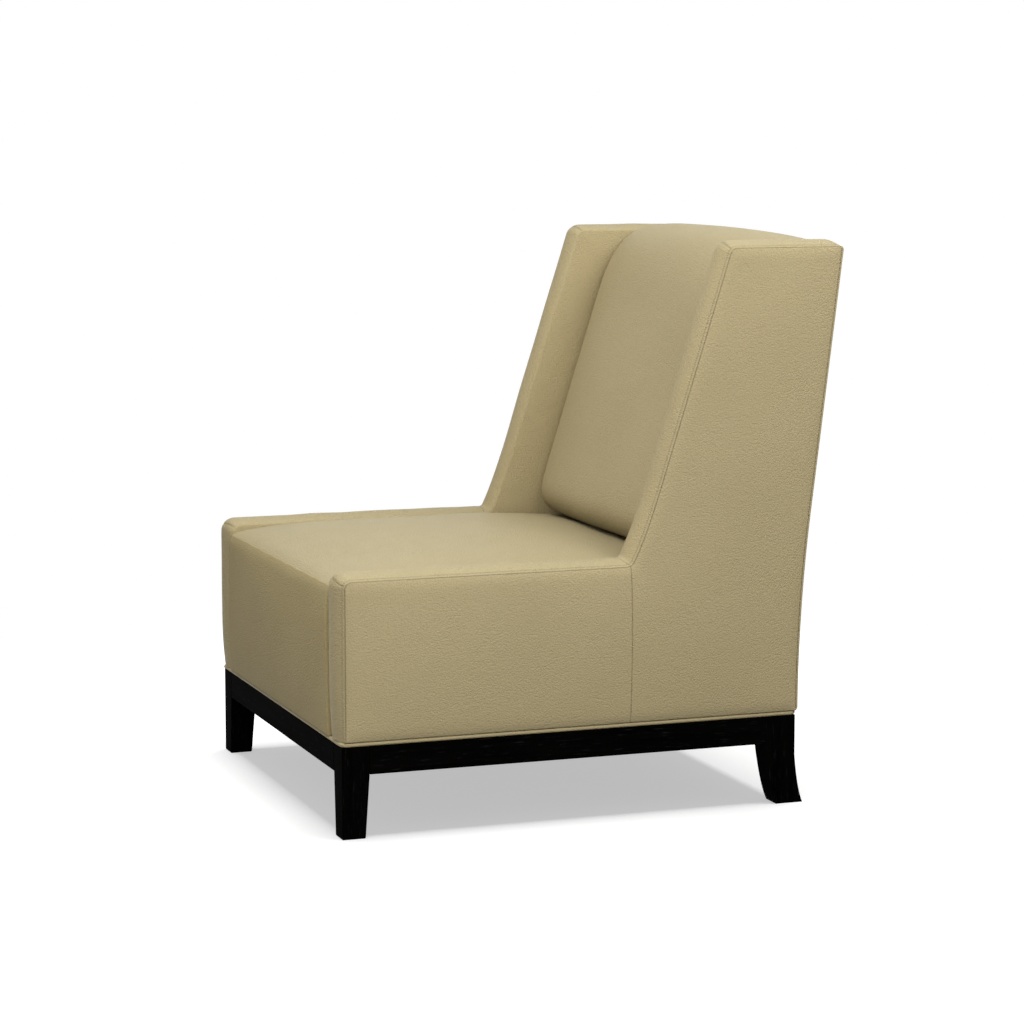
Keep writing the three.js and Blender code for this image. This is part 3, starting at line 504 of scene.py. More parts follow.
def filled(mesh, back_x):
    """A closed solid between a surface and the plane at back_x behind it."""
    points, faces = mesh
    count = len(points)
    edges = np.concatenate([faces[:, [i, (i + 1) % 4]] for i in range(4)])
    edges = edges[edges[:, 0] != edges[:, 1]]
    _, first, uses = np.unique(np.sort(edges, axis=1), axis=0, return_index=True, return_counts=True)
    rim = edges[first[uses == 1]]
    walls = np.column_stack([rim[:, 1], rim[:, 0], rim[:, 0] + count, rim[:, 1] + count])
    back = points_at(back_x, points[:, 1], points[:, 2])
    return welded(np.concatenate([points, back]), np.concatenate([faces, faces[:, ::-1] + count, walls]))


def mirrored(mesh, side):
    """The right-hand mesh as it is, or its mirror image for the left."""
    points, faces = mesh
    if side == "right":
        return points, faces
    return points * np.array([-1] + [1] * (points.shape[1] - 1)), faces[:, ::-1]


def outward_normals(grid, middle):
    """Unit normals of a grid of points, turned away from a place in its middle."""
    normals = unit(np.cross(np.gradient(grid, axis=1), np.gradient(grid, axis=0)))
    return normals * np.sign((normals * (grid - middle)).sum())


def add_object(name, data):
    thing = bpy.data.objects.new(name, data)
    bpy.context.scene.collection.objects.link(thing)
    return thing


# What a point carries after its place, for its material to read: how much painted shade darkens it (in
# seams, darts, the topstitch groove and under the back pad's roll), its run along the outer seam, and its
# distance from the line of topstitches

MARKS = ("seam_shade", "stitch_run", "stitch_gap")


def make_mesh(name, mesh, material):
    """A smooth-shaded object, moved from depths about the base's middle into the part's frame."""
    points, faces = mesh
    data = bpy.data.meshes.new(name)
    placed = points[:, :3] + np.array([0, BASE_CENTRE_Y, 0])
    kept = [list(dict.fromkeys(face)) for face in faces.tolist()]
    data.from_pydata(placed.tolist(), [], [face for face in kept if len(face) > 2])
    data.polygons.foreach_set("use_smooth", [True] * len(data.polygons))
    for mark, values in zip(MARKS, points[:, 3:].T):
        data.attributes.new(mark, "FLOAT", "POINT").data.foreach_set("value", values.astype(np.float32))
    data.materials.append(material)
    return add_object(name, data)


def modify(piece, name, kind, **settings):
    modifier = piece.modifiers.new(name, kind)
    for key, value in settings.items():
        setattr(modifier, key, value)


def settle(piece, node=None):
    """The piece rides on the chair and, given a CAD node, stands in for it and hides it."""
    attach(piece, "root")
    if node:
        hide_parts(node)


def cover(name, mesh, material, node):
    """A leather cover in its CAD node's place."""
    piece = make_mesh(name, mesh, material)
    modify(piece, "thickness", "SOLIDIFY", thickness=LEATHER, offset=-1, use_rim=True)
    settle(piece, node)


# Sides

def section():
    """The section across a side's crowned edge, from the inner face to the outer seam: x, the
    share of the full crown, and the distance from the seam."""
    turn = np.linspace(math.pi, math.pi / 2, 801)
    reach = CREST_X - INNER_X - INNER_PULL
    inner = CREST_X - reach * np.abs(np.cos(turn)) ** (2 / SHOULDER_POWER)
    inner_rise = np.sin(turn) ** (2 / SHOULDER_POWER)
    inner_rise[0] = 0
    fall = np.linspace(0, 1, 801)[1:]
    x = np.concatenate([inner, CREST_X + (SEAM_X - CREST_X) * fall])
    rise = np.concatenate([inner_rise, 1 - fall * fall])
    run = travelled(points_at(x, rise * SIDE_CROWN))
    places = spaced(0, run[-1], 0.0012, 0.0040, 0.003, 0.0085)
    return np.interp(places, run, x), np.interp(places, run, rise), run[-1] - places


def inner_pull():
    """How far the inner face is drawn out beside the seam line: fully along the wing's front edge,
    and little where the seat or the pad lies against it."""
    corner, elbow, top = SEAM_RUN[[ARM_LEVEL, ELBOW, TOP_TURN]]
    places = [corner - 0.03, corner, elbow - 0.03, elbow + 0.06, top - 0.20, top, top + 0.12]
    return INNER_PULL * np.interp(SEAM_RUN, places, INNER_PULL_SHARES)


def crown():
    """How far the padding stands out along the seam line: less towards the base and the rear."""
    y, z = SEAM_AT.T
    first, level, elbow = SEAM_RUN[[ARM_FIRST, ARM_LEVEL, ELBOW]]
    turned = smoothed(growing(SEAM_RUN - first, level - first))
    full = FRONT_CROWN + (SIDE_CROWN - FRONT_CROWN) * turned
    full = full + ARM_SWELL * np.sin(math.pi * growing(SEAM_RUN - first, elbow - first))
    low = 1 - fading(z - COVER_BOTTOM, CROWN_FADE) ** 2
    rear = 1 - fading(rear_line(z) - REAR_ROLL - y, CROWN_REAR_FADE) ** 2
    return full * (CROWN_FLOOR_SHARE + (1 - CROWN_FLOOR_SHARE) * low) * np.sqrt(rear)


def darts():
    """Darts where the crowned edge turns: the run along the seam at the inner and the outer end,
    and the power of the curve between them."""
    corner, level, elbow, top, top_end = SEAM_RUN[[ARM_FIRST, ARM_LEVEL, ELBOW, TOP_TURN, TOP_FIRST]]
    return [
        (*(corner + share * (level - corner) for share in ARM_DART_SHARES), 1.0),
        (*(elbow + reach for reach in ELBOW_DART), ELBOW_DART_POWER),
        (*(top + share * (top_end - top) for share in TOP_DART_SHARES), 1.0),
    ]


def crowned_edge():
    """The crowned edge as a grid with its marks, one row for each place on the seam line."""
    x, share, from_seam = section()
    flat = SEAM_AT[:, None, :] + SEAM_OUT[:, None, :] * (crown()[:, None] * share)[..., None]
    widened = (CREST_X - INNER_X - inner_pull()) / (CREST_X - INNER_X - INNER_PULL)
    x = np.where(x < CREST_X, CREST_X - (CREST_X - x) * widened[:, None], x)
    grid = at_x(flat, x)
    stitched = np.abs(from_seam - STITCH_LINE)
    groove = narrow(stitched)
    across = 1 - from_seam / from_seam[0]
    gap = np.min([np.abs(SEAM_RUN[:, None] - inner - (outer - inner) * across**power)
                  for inner, outer, power in darts()], axis=0)
    ends = growing(across, DART_START_SHARE) * growing(DART_END - across, DART_END_SHARE)
    drawn = valley(from_seam) + GROOVE_DEPTH * groove
    drawn = drawn + ends * valley(gap, DART_DEPTH, DART_WIDTH, TROUGH_DEPTH / 2)
    drawn = drawn - waves(grid, "edge") * growing(from_seam, EDGE_EASE)
    drawn = drawn * growing(from_seam[0] - from_seam, EDGE_EASE)
    # Painted shade: the seam, the topstitch groove and the darts are marked darker for the material
    dark = np.maximum(narrow(from_seam), STITCH_SHADE * groove)
    dark = np.maximum(dark, DART_SHADE * ends * narrow(gap))
    grid = grid - outward_normals(grid, grid.mean((0, 1))) * drawn[..., None]
    return np.concatenate([grid, points_at(dark, SEAM_RUN[:, None], stitched)], 2)


def at_x(grid, x, *marks):
    """A grid of places (y, z) put at x, with more columns after them."""
    return points_at(x, grid[..., 0], grid[..., 1], *marks)


def inner_face(grid):
    """The inner face of a side, whose padding eases off towards the crowned edge."""
    edge, run = nearest_on(grid, SEAM_AT)
    pull = np.interp(run, SEAM_RUN, inner_pull()) * fading(edge, INNER_PULL_REACH) ** 2
    return at_x(grid, INNER_X + pull, 0, 0, 1)


def inner_side_leather(side, material):
    grids = (crowned_edge(), False), (inner_face(ARM_GRID), False), (inner_face(WING_GRID), True)
    mesh = mirrored(joined(*grids), side)
    cover(f"inner_side_leather_{side}", mesh, material, f"inner_side_cover_{side}")


def borders():
    """The lines round a side's outer panels, each without a sharp turn: the foot, the rear, the
    front, the edge from the arm's corner to the wing's, and the top."""
    foot = points_at([FRONT_SEAM_Y, REAR_FOOT_Y], COVER_BOTTOM)
    rear_z = np.linspace(COVER_BOTTOM, WING_HEIGHT, 40)
    rear = points_at(rear_line(rear_z) - REAR_ROLL, rear_z)
    front, top = (ARM_FIRST + ARM_LEVEL) // 2, (TOP_TURN + TOP_FIRST) // 2
    return [foot, rear, SEAM_AT[: front + 1], SEAM_AT[front : top + 1], SEAM_AT[top:]]


def panel_face(grid, *plain_seams):
    """The outer face of a side's panel: pillowed, and drawn in at the seams round it."""
    gaps = [nearest_on(grid, line)[0] for line in borders()]
    broad = np.prod([1 - fading(gap, BROAD_REACH) ** 2 for gap in gaps], axis=0)
    edged = np.prod([1 - fading(gap, EDGE_REACH) ** 3 for gap in gaps], axis=0)
    seam = nearest_on(grid, SEAM_AT)[0]
    drawn = valley(seam) + valley(gaps[0], SEAM_DEPTH / 2) + valley(gaps[1], SEAM_DEPTH / 2)
    # Painted shade along the outer seam, the rear seam and the plain seams, kept as the seam_shade mark
    shade = np.maximum(narrow(seam), PLAIN_SEAM_SHARE * narrow(gaps[1]))
    for line in plain_seams:
        away = nearest_on(grid, line)[0]
        drawn += valley(away, SEAM_DEPTH * PLAIN_SEAM_SHARE, SEAM_WIDTH, TROUGH_DEPTH / 5)
        shade = np.maximum(shade, PLAIN_SEAM_SHARE * narrow(away))
    wavy = waves(at_x(grid, 0), "panel") * growing(np.min(gaps, axis=0), WAVE_SIDE_FADE)
    return at_x(grid, SEAM_X + broad * BROAD_PILLOW + edged * EDGE_PILLOW - drawn + wavy, shade, 0, 1)


def outer_panels(side, material):
    for part, grid, turned in (("arm", ARM_GRID, True), ("wing", WING_GRID, False)):
        mesh = mirrored(joined((panel_face(grid, ELBOW_LINE), turned)), side)
        cover(f"outer_{part}_leather_{side}", mesh, material, f"outer_{part}_panel_{side}")


def topstitches(side, material):
    """A row of short stitches on the crowned edge, a little way in from its outer seam."""
    from_seam = section()[2][::-1]
    edge = crowned_edge()[:, ::-1, :3]
    line, beside = (
        np.concatenate([read_at([away], from_seam, row) for row in edge])
        for away in (STITCH_LINE, STITCH_LINE + STITCH_ASIDE)
    )
    run = travelled(line)
    middles = np.arange(STITCH_PITCH, run[-1] - STITCH_PITCH, STITCH_PITCH)
    place = read_at(middles, run, line)
    ahead = unit(read_at(middles + STITCH_AHEAD, run, line) - place)
    across = read_at(middles, run, beside) - place
    across = unit(across - ahead * (across * ahead).sum(1)[:, None])
    up = np.cross(ahead, across)
    up *= np.sign(up @ np.array([0, -0.7, 0.7]))[:, None]
    turns = np.linspace(0, 2 * math.pi, 7)[:, None]
    rings = np.array([-1, -0.8, 0, 0.8, 1])[:, None, None] * STITCH_LENGTH / 2
    girth = np.array([0, 0.75, 1, 0.75, 0])[:, None, None] * STITCH_WIDTH / 2
    stitches = []
    for middle, way, beyond, rise in zip(place, ahead, across, up):
        sides = np.cos(turns) * beyond + np.sin(turns) * rise
        stitches.append((middle + rise * STITCH_LIFT + way * rings + girth * sides, False))
    piece = make_mesh(f"topstitches_{side}", mirrored(joined(*stitches), side), material)
    settle(piece)


# Seat

def rolled_columns(half, roll, depth, edge_count=9):
    """Places across a cushion, and how far its surface is drawn back there by its side rolls."""
    middle = spaced(0, half - roll, 0.004, 0.022, 0.0, 0.004)
    turns = np.linspace(0, math.pi / 2, edge_count)[1:]
    x = np.concatenate([middle, half - roll + roll * np.sin(turns), [half, half]])
    drop = np.concatenate([0 * middle, roll * (1 - np.cos(turns)), [roll + depth / 2, roll + depth]])
    return np.concatenate([-x[:0:-1], x]), np.concatenate([drop[:0:-1], drop])


def puckers(x, from_seam):
    """Small gathers along the seat's front seam."""
    row = np.sin(x / PUCKER_LENGTH + np.sin(x / PUCKER_DRIFT))
    return PUCKER_DEPTH * row * np.exp(-from_seam / PUCKER_REACH)


def seat_top_points():
    x, drop = rolled_columns(INSIDE_HALF, SEAT_SIDE_ROLL, SEAT_SIDE_DEPTH)
    share = spaced(0, 1, 0.0016, 0.02, 0.01)[:, None]
    rise, swell = smooth_curve(SEAT_TOP_SHARES, share)
    front = (SEAT_REAR_Y - SEAT_FRONT_Y) * share
    swell = swell * SEAT_CROWN * (1 - np.abs(x / INSIDE_HALF) ** SEAT_CROWN_POWER)
    rolled = drop * np.clip(SEAT_ROLL_START + front / SEAT_ROLL_REACH, 0, 1)
    z = SEAT_SEAM_HEIGHT + rise * SEAT_EDGE_RISE + swell - rolled - valley(front, trough=TROUGH_DEPTH / 2)
    points = points_at(x, SEAT_FRONT_Y + front, z)
    away = growing(front, WAVE_FADE) * growing(INSIDE_HALF - np.abs(x), WAVE_SIDE_FADE)
    points[..., 2] += waves(points, "seat_top") * away + puckers(x, front)
    return points


def seat_front_points():
    x, drop = rolled_columns(INSIDE_HALF, SEAT_FRONT_SIDE_ROLL, SEAT_FRONT_SIDE_DEPTH)
    z = spaced(COVER_BOTTOM, SEAT_SEAM_HEIGHT - SEAM_GAP, FINE, COARSE, 0.004, 0.008)[:, None]
    share = (z - z[0]) / (z[-1] - z[0])
    below, above = SEAT_SEAM_HEIGHT - z, z - COVER_BOTTOM
    bulge = 4 * share * (1 - share) * SEAT_FRONT_BULGE
    bulge = bulge * (1 - SEAT_FRONT_BULGE_FALL * (x / INSIDE_HALF) ** 2)
    edge = SEAT_FRONT_EDGE * (1 - fading(below, SEAT_FRONT_EDGE_REACH) ** 3)
    y = SEAT_FRONT_Y - bulge - edge + drop + valley(below) + valley(above, SEAM_DEPTH / 3)
    points = points_at(x, y, z)
    away = growing(below, WAVE_FADE) * growing(above, WAVE_FADE)
    points[..., 1] += waves(points, "seat_front") * away
    points[..., 2] += puckers(x, below)
    return points


def seat_leather(material, front_material):
    cover("seat_top_leather", joined((seat_top_points(), False)), material, "seat_top_cover")
    front = joined((seat_front_points(), False))
    # The front takes the shaded copy of the leather, tinted as painted shade
    cover("seat_front_leather", front, front_material, "seat_front_cover")


# Back pad

def face_line(z):
    """The pad's face before it swells, set back from the wing's front edge."""
    return wing_line(z) + BACK_SETBACK


def back_line():
    """The pad's line from under its lower edge, up and over to the rear, and its swell there."""
    curl_top = BACK_BOTTOM + BACK_CURL
    turn = np.linspace(0, math.pi / 2, 21)
    curl_z = curl_top - BACK_CURL * np.cos(turn)
    curl_y = face_line(curl_top) - (curl_top - curl_z) * WING_SLOPE + BACK_TUCK * (1 - np.sin(turn))
    under = (face_line(BACK_BOTTOM + BACK_KNEE) + BACK_FOAM - BACK_REAR_ROOM, BACK_BOTTOM)
    straight_z = np.linspace(curl_top, BACK_ROLL, 22)
    pulled = BACK_ROLL + BACK_ROLL_PULL
    top = float(rear_line(BACK_TOP)) - BACK_TOP_SETBACK
    rear = float(rear_line(WING_HEIGHT)) - REAR_ROLL
    roll = [(face_line(BACK_ROLL), BACK_ROLL), (face_line(pulled), pulled),
            (top - BACK_TOP_REACH, BACK_TOP), (top, BACK_TOP)]
    over = [(top, BACK_TOP), (rear - BACK_TOP_SETBACK / 4, BACK_TOP), (rear, WING_HEIGHT + BACK_LAP)]
    parts = [
        np.linspace(under, (curl_y[0], curl_z[0]), 6),
        points_at(curl_y, curl_z),
        points_at(face_line(straight_z), straight_z),
        bezier(roll, np.linspace(0, 1, 31)),
        bezier(over, spaced(0, 1, 0.02, 0.06, 0.0, 0.1)),
    ]
    line = chained(parts)
    spans = zip(parts, BACK_STEPS, BACK_STEPS[1:])
    end = chained([np.linspace(low, high, len(part)) for part, low, high in spans]) / BACK_STEPS[-1]
    rising = growing(end - SWELL_START_SHARE, SWELL_RISE_SHARE)
    share = np.minimum(rising, growing(1 - end, SWELL_FALL_SHARE))
    for _ in range(12):
        line[1:-1] += (line[:-2] + line[2:] - 2 * line[1:-1]) * 0.2
        share[1:-1] += (share[:-2] + share[2:] - 2 * share[1:-1]) * 0.3
    return line, share


def back_points():
    line, share = back_line()
    out = left_normals(line)[:, None, :]
    x, drop = rolled_columns(INSIDE_HALF, BACK_SIDE_ROLL, BACK_SIDE_DEPTH, 12)
    crowned = BACK_CROWN * share[:, None] * (1 - BACK_CROWN_FALL * np.abs(x / INSIDE_HALF) ** 4)
    spine_z = np.clip(line[:, 1], BACK_BOTTOM + SPINE_LOW_END, BACK_TOP - SPINE_HIGH_END)
    inward = points_at(face_line(spine_z) + BACK_SPINE_DEPTH, spine_z) - line
    rolled = np.minimum(drop, BACK_ROLL_LIMIT * np.linalg.norm(inward, axis=1)[:, None])
    flat = line[:, None, :] + out * crowned[..., None] + unit(inward)[:, None, :] * rolled[..., None]
    points = at_x(flat, x)
    away = growing(INSIDE_HALF - np.abs(x), BACK_WAVE_FADE) * share[:, None]
    points[..., 1:] += out * (waves(points, "inside_back") * away)[..., None]
    return points


def back_leather(material):
    """The pad's cover, with painted shade under its lower roll."""
    points = back_points()
    # Painted shade under the pad's lower roll, carried in the seam_shade mark
    under = fading(points[..., 2:] - BACK_BOTTOM, BACK_SHADE_REACH) ** 2
    mesh = joined((np.concatenate([points, under], 2), False))
    cover("inside_back_leather", mesh, material, "inside_back_cover")


def outside_back(material):
    """The plain panel behind, whose edges roll round the rear corners to the wing panels."""
    z = spaced(COVER_BOTTOM, WING_HEIGHT, 0.0012, 0.018, 0.006, 0.008)[:, None]
    level = (z - z[0]) / (z[-1] - z[0])
    x, drop = rolled_columns(SEAM_X + OUTSIDE_BACK_LAP, REAR_ROLL, 0.0)
    share = np.clip(x / SEAM_X, -1, 1)
    swell = OUTSIDE_BACK_SWELL * (1 - np.abs(2 * level - 1) ** 5) * (1 - share**4)
    end = np.minimum(z - z[0], z[-1] - z)
    tuck = OUTSIDE_BACK_TUCK * fading(end, OUTSIDE_BACK_TUCK_REACH) ** 2
    points = points_at(x, rear_line(z) + swell - drop - tuck, z)
    away = growing(end, WAVE_FADE) * growing(SEAM_X - np.abs(x), WAVE_FADE)
    points[..., 1] += waves(points, "outside_back") * away
    cover("outside_back_leather", joined((points, True)), material, "outside_back_cover")


# Padding and cloth behind the covers

def side_padding(side, material):
    """The foam of a side, with softened edges, a little inside its leather."""
    piece = add_object(f"side_padding_{side}", nodes[f"side_foam_{side}"].data.copy())
    piece.data.materials.clear()
    piece.data.materials.append(material)
    modify(piece, "blocks", "REMESH", mode="VOXEL", voxel_size=FOAM_VOXEL, use_smooth_shade=True)
    modify(piece, "ease", "SMOOTH", iterations=4)
    modify(piece, "shrink", "DISPLACE", strength=-FOAM_SHRINK, mid_level=0)
    graph = bpy.context.evaluated_depsgraph_get()
    piece.data = bpy.data.meshes.new_from_object(piece.evaluated_get(graph))
    piece.modifiers.clear()
    keep_behind_leather(piece.data)
    settle(piece, f"side_foam_{side}")


def keep_behind_leather(mesh):
    """Draws in what would come through a side's leather."""
    places = np.empty(len(mesh.vertices) * 3)
    mesh.vertices.foreach_get("co", places)
    places = places.reshape(-1, 3)
    middle = np.array([BASE_CENTRE_Y, 0])
    flat = places[:, 1:] - middle
    gaps = np.linalg.norm(flat[:, None, :] - SEAM_AT[::3], axis=2)
    nearest = gaps.argmin(1)
    line, out, pull, full = (rows[::3][nearest] for rows in (SEAM_AT, SEAM_OUT, inner_pull(), crown()))
    out = unit(out)
    eased_off = INNER_X + pull * fading(gaps.min(1), INNER_PULL_REACH) ** 2
    deep = np.maximum(np.abs(places[:, 0]), eased_off + LEATHER_ROOM)
    proud = ((flat - line) * out).sum(1)
    x, rise, _ = section()
    most = full * np.interp(deep, x, rise) - LEATHER_ROOM
    drawn = np.where(proud > -LEATHER_ROOM, np.clip(proud - most, 0, None), 0)
    places[:, 0] = np.sign(places[:, 0]) * deep
    places[:, 1:] = flat - out * drawn[:, None] + middle
    mesh.vertices.foreach_set("co", places.ravel())


def side_wadding(side, material):
    """The wadding between the plywood and the outer panels, thicker in the middle."""
    low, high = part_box(f"side_wadding_{side}")
    inner = min(abs(low.x), abs(high.x)) + WADDING_CLEARANCE
    faces = [panel_face(trimmed(grid))[::2, ::2, :3] for grid in (ARM_GRID, WING_GRID)]
    for face in faces:
        face[..., 0] = np.maximum(face[..., 0] - WADDING_INSET, inner + WADDING_THINNEST)
    mesh = mirrored(filled(joined((faces[0], True), (faces[1], False)), inner), side)
    piece = make_mesh(f"side_wad_{side}", mesh, material)
    settle(piece, f"side_wadding_{side}")


def trimmed(grid):
    """A grid with an odd number of rows and columns, so that every second one keeps its edges."""
    for axis in (0, 1):
        if grid.shape[axis] % 2 == 0:
            grid = np.delete(grid, -2, axis)
    return grid


def foam_block(name, outer, base, material, node):
    """Foam between a grid and a line of corners behind it."""
    outer[..., 0] *= (INSIDE_HALF - FOAM_SIDE_ROOM) / INSIDE_HALF
    inner = outer.copy()
    inner[..., 1:] = along_line(base, len(outer))[:, None, :]
    settle(make_mesh(name, boxed(outer, inner), material), node)


def seat_padding(material):
    """The seat's foam: it fills the covers down to the felt, and laps over the front rail."""
    floor_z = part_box("seat_felt")[1].z + FOAM_CLEARANCE
    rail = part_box("front_seat_rail")[0].y - BASE_CENTRE_Y - FOAM_CLEARANCE
    outer = np.concatenate([seat_front_points()[::2][:-1], seat_top_points()[::2]])
    outer[..., 1] = np.minimum(outer[..., 1] + FOAM_INSET, SEAT_REAR_Y)
    outer[..., 2] = np.maximum(outer[..., 2] - FOAM_INSET, COVER_BOTTOM)
    base = [(rail, COVER_BOTTOM), (rail, floor_z), (SEAT_REAR_Y, floor_z)]
    foam_block("seat_padding", outer, base, material, "seat_foam")


def back_padding(material):
    """The back's foam: it fills the cover back to the webbing and laps over the top rail."""
    outer = back_points()[::2]
    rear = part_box("back_foam")[1].y - BASE_CENTRE_Y
    knee, top = BACK_BOTTOM + BACK_KNEE, WING_HEIGHT - FOAM_TOP_ROOM
    middle_z = (BACK_BOTTOM + BACK_TOP) / 2
    middle = np.array([0, face_line(middle_z) + BACK_SPINE_DEPTH, middle_z])
    outer = outer - outward_normals(outer, middle) * FOAM_INSET
    outer[..., 1] = np.minimum(outer[..., 1], rear)
    knee_y, top_y = (face_line(z) + BACK_FOAM - FOAM_REAR_ROOM for z in (knee, top))
    base = [(knee_y, BACK_BOTTOM + FOAM_INSET), (knee_y, knee), (top_y, top), (rear, top)]
    foam_block("back_padding", outer, base, material, "back_foam")


def cloth_sheet(node, name, material):
    """A flat textile in its solid's place, with slow waves away from its edges."""
    low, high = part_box(node)
    x, y = (np.linspace(a, b, int((b - a) / CLOTH_STEP)) for a, b in ((low.x, high.x), (low.y, high.y)))
    y = y[:, None] - BASE_CENTRE_Y
    edge = np.minimum(np.minimum(x - x[0], x[-1] - x), np.minimum(y - y[0], y[-1] - y))
    points = points_at(x, y, high.z)
    points[..., 2] -= growing(edge, 0.02) * np.abs(waves(points, "cloth"))
    under = points - np.array([0, 0, (high.z - low.z) * 0.9])
    settle(make_mesh(name, boxed(points, under), material), node)


def webbing_strap(node, name, material):
    """One strap behind the back's foam, tacked at both ends, with its ribs across."""
    low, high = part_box(node)
    z = np.linspace(low.z, high.z, WEBBING_RIBS)[:, None]
    x = np.linspace(low.x, high.x, 13)
    selvedge = SELVEDGE * (np.abs(np.linspace(-1, 1, 13)) > 0.9)
    ribs = WEBBING_RIB * (np.arange(WEBBING_RIBS) % 2)[:, None]
    points = points_at(x, face_line(z) + BACK_FOAM - WEBBING_SETBACK - selvedge - ribs, z)
    mesh = boxed(points, points + np.array([0, WEBBING_THICKNESS, 0]))
    settle(make_mesh(name, mesh, material), node)


def welt(material):
    """The welt cord along the base's top edge, joined at the middle of the rear."""
    low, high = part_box("bottom_welt")
    radius = (high.z - low.z) / 2
    half_x, half_y = high.x - radius, (high.y - low.y) / 2 - radius
    join = np.array([[0, half_y]])
    stops = [join]
    for i, (sx, sy) in enumerate(((1, 1), (1, -1), (-1, -1), (-1, 1))):
        centre = (sx * (half_x - WELT_CORNER), sy * (half_y - WELT_CORNER))
        stops.append(arc(centre, WELT_CORNER, math.pi / 2 * (1 - i - np.linspace(0, 1, 11))))
    stops.append(join)
    path = [join]
    for before, after, count in zip(stops, stops[1:], (31, 62, 62, 62, 31)):
        path += [np.linspace(before[-1], after[0], count)[1:-1], after]
    line = np.concatenate(path)
    side_way = left_normals(line)
    side_way[[0, -1]] = (0, -1)
    share = travelled(line) / travelled(line)[-1]
    girth = radius + WELT_PUCKER * np.sin(share * 2 * math.pi * WELT_PUCKERS)
    turn = np.linspace(0, 2 * math.pi, 21)
    reach = girth[:, None] * np.cos(turn) - WELT_FLANGE * (np.sin(turn) < -0.8)
    flat = line[:, None, :] + side_way[:, None, :] * reach[..., None]
    grid = points_at(flat[..., 0], flat[..., 1], (low.z + high.z) / 2 + radius * np.sin(turn))
    piece = make_mesh("welt_cord", joined((grid, False)), material)
    settle(piece, "bottom_welt")


# Materials

class Nodes:
    """A tree of shader nodes, and short ways to add and join them."""

    def __init__(self, tree):
        self.tree = tree

    def put(self, node, inputs):
        """Links each input to another node's output, or sets it to a plain value."""
        for key, value in inputs.items():
            socket = node.inputs[key]
            if isinstance(value, bpy.types.NodeSocket):
                self.tree.links.new(value, socket)
            else:
                socket.default_value = (*value, 1) if socket.type == "RGBA" else value

    def node(self, kind, inputs=None, **settings):
        node = self.tree.nodes.new(kind)
        for key, value in settings.items():
            setattr(node, key, value)
        self.put(node, inputs or {})
        return node

    def math(self, operation, a, b=0.0, c=0.0):
        return self.node("ShaderNodeMath", {0: a, 1: b, 2: c}, operation=operation).outputs[0]

    def blend(self, share, a, b):
        return self.node("ShaderNodeMixShader", {0: share, 1: a, 2: b}).outputs[0]

    def shown_to_camera(self):
        """1 for rays from the camera or a glossy or clear surface, and 0 for light."""
        rays = self.node("ShaderNodeLightPath").outputs
        shown = self.math("MAXIMUM", rays["Is Camera Ray"], rays["Is Glossy Ray"])
        return self.math("MAXIMUM", shown, rays["Is Transmission Ray"])


class Looks(Nodes):
    """A material under construction, with its shader and its base colour."""

    def __init__(self, name, base, roughness, specular=0.5, metallic=0.0):
        self.material = bpy.data.materials.new(name)
        self.material.use_nodes = True
        super().__init__(self.material.node_tree)
        self.base = base
        self.bsdf = self.tree.nodes["Principled BSDF"]
        self.put(self.bsdf, {"Base Color": base, "Roughness": roughness,
                             "Specular IOR Level": specular, "Metallic": metallic})
        self.place = self.node("ShaderNodeTexCoord").outputs["Object"]

    def noise(self, scale, detail=2.0, roughness=0.5, distortion=0.0, place=None):
        given = {"Vector": place or self.place, "Scale": scale, "Detail": detail,
                 "Roughness": roughness, "Distortion": distortion}
        return self.node("ShaderNodeTexNoise", given).outputs["Fac"]

    def cells(self, scale, place=None, **smooth):
        given = {"Vector": place or self.place, "Scale": scale, **smooth}
        feature = "SMOOTH_F1" if smooth else "F1"
        return self.node("ShaderNodeTexVoronoi", given, feature=feature).outputs["Distance"]

    def ramp(self, value, low, high, to_low=0.0, to_high=1.0):
        names = ("Value", "From Min", "From Max", "To Min", "To Max")
        given = dict(zip(names, (value, low, high, to_low, to_high)))
        return self.node("ShaderNodeMapRange", given).outputs["Result"]

    def mix(self, share, a, b):
        return self.node("ShaderNodeMix", {0: share, 6: a, 7: b}, data_type="RGBA").outputs[2]

    def toned(self, value, low, high, dark, pale):
        """The base colour, from one share of it to another as the value goes from low to high."""
        return self.mix(self.ramp(value, low, high), scaled(self.base, dark), scaled(self.base, pale))

    def darkened(self, share, color, tone):
        return self.mix(share, color, scaled(self.base, tone))

    def axis(self, vector, name):
        return self.node("ShaderNodeSeparateXYZ", {0: vector}).outputs[name]

    def beat(self, value, length):
        """A sine wave along a value."""
        return self.math("SINE", self.math("MULTIPLY", value, 2 * math.pi / length))

    def stretched(self, scale):
        """The place, scaled apart along each axis, for grain that runs one way."""
        return self.node("ShaderNodeMapping", {"Vector": self.place, "Scale": scale}).outputs["Vector"]

    def mark(self, name):
        """A number that the mesh carries at its points."""
        return self.node("ShaderNodeAttribute", attribute_name=name).outputs["Fac"]

    def bump(self, height, strength, distance, **under):
        given = {"Height": height, "Strength": strength, "Distance": distance, **under}
        return self.node("ShaderNodeBump", given).outputs["Normal"]

    def wear(self, **inputs):
        """The finished material, with what goes into its shader."""
        names = {"color": "Base Color", "rough": "Roughness", "normal": "Normal"}
        self.put(self.bsdf, {names[key]: value for key, value in inputs.items()})
        return self.material


def slot_color(slot):
    return tuple(next(m["base_color"] for m in frame["record"]["materials"] if m["slot"] == slot))[:3]


def scaled(color, *shares):
    """A colour times one share, or its three channels times a share each."""
    return tuple(c * share for c, share in zip(color, shares * (3 if len(shares) == 1 else 1)))


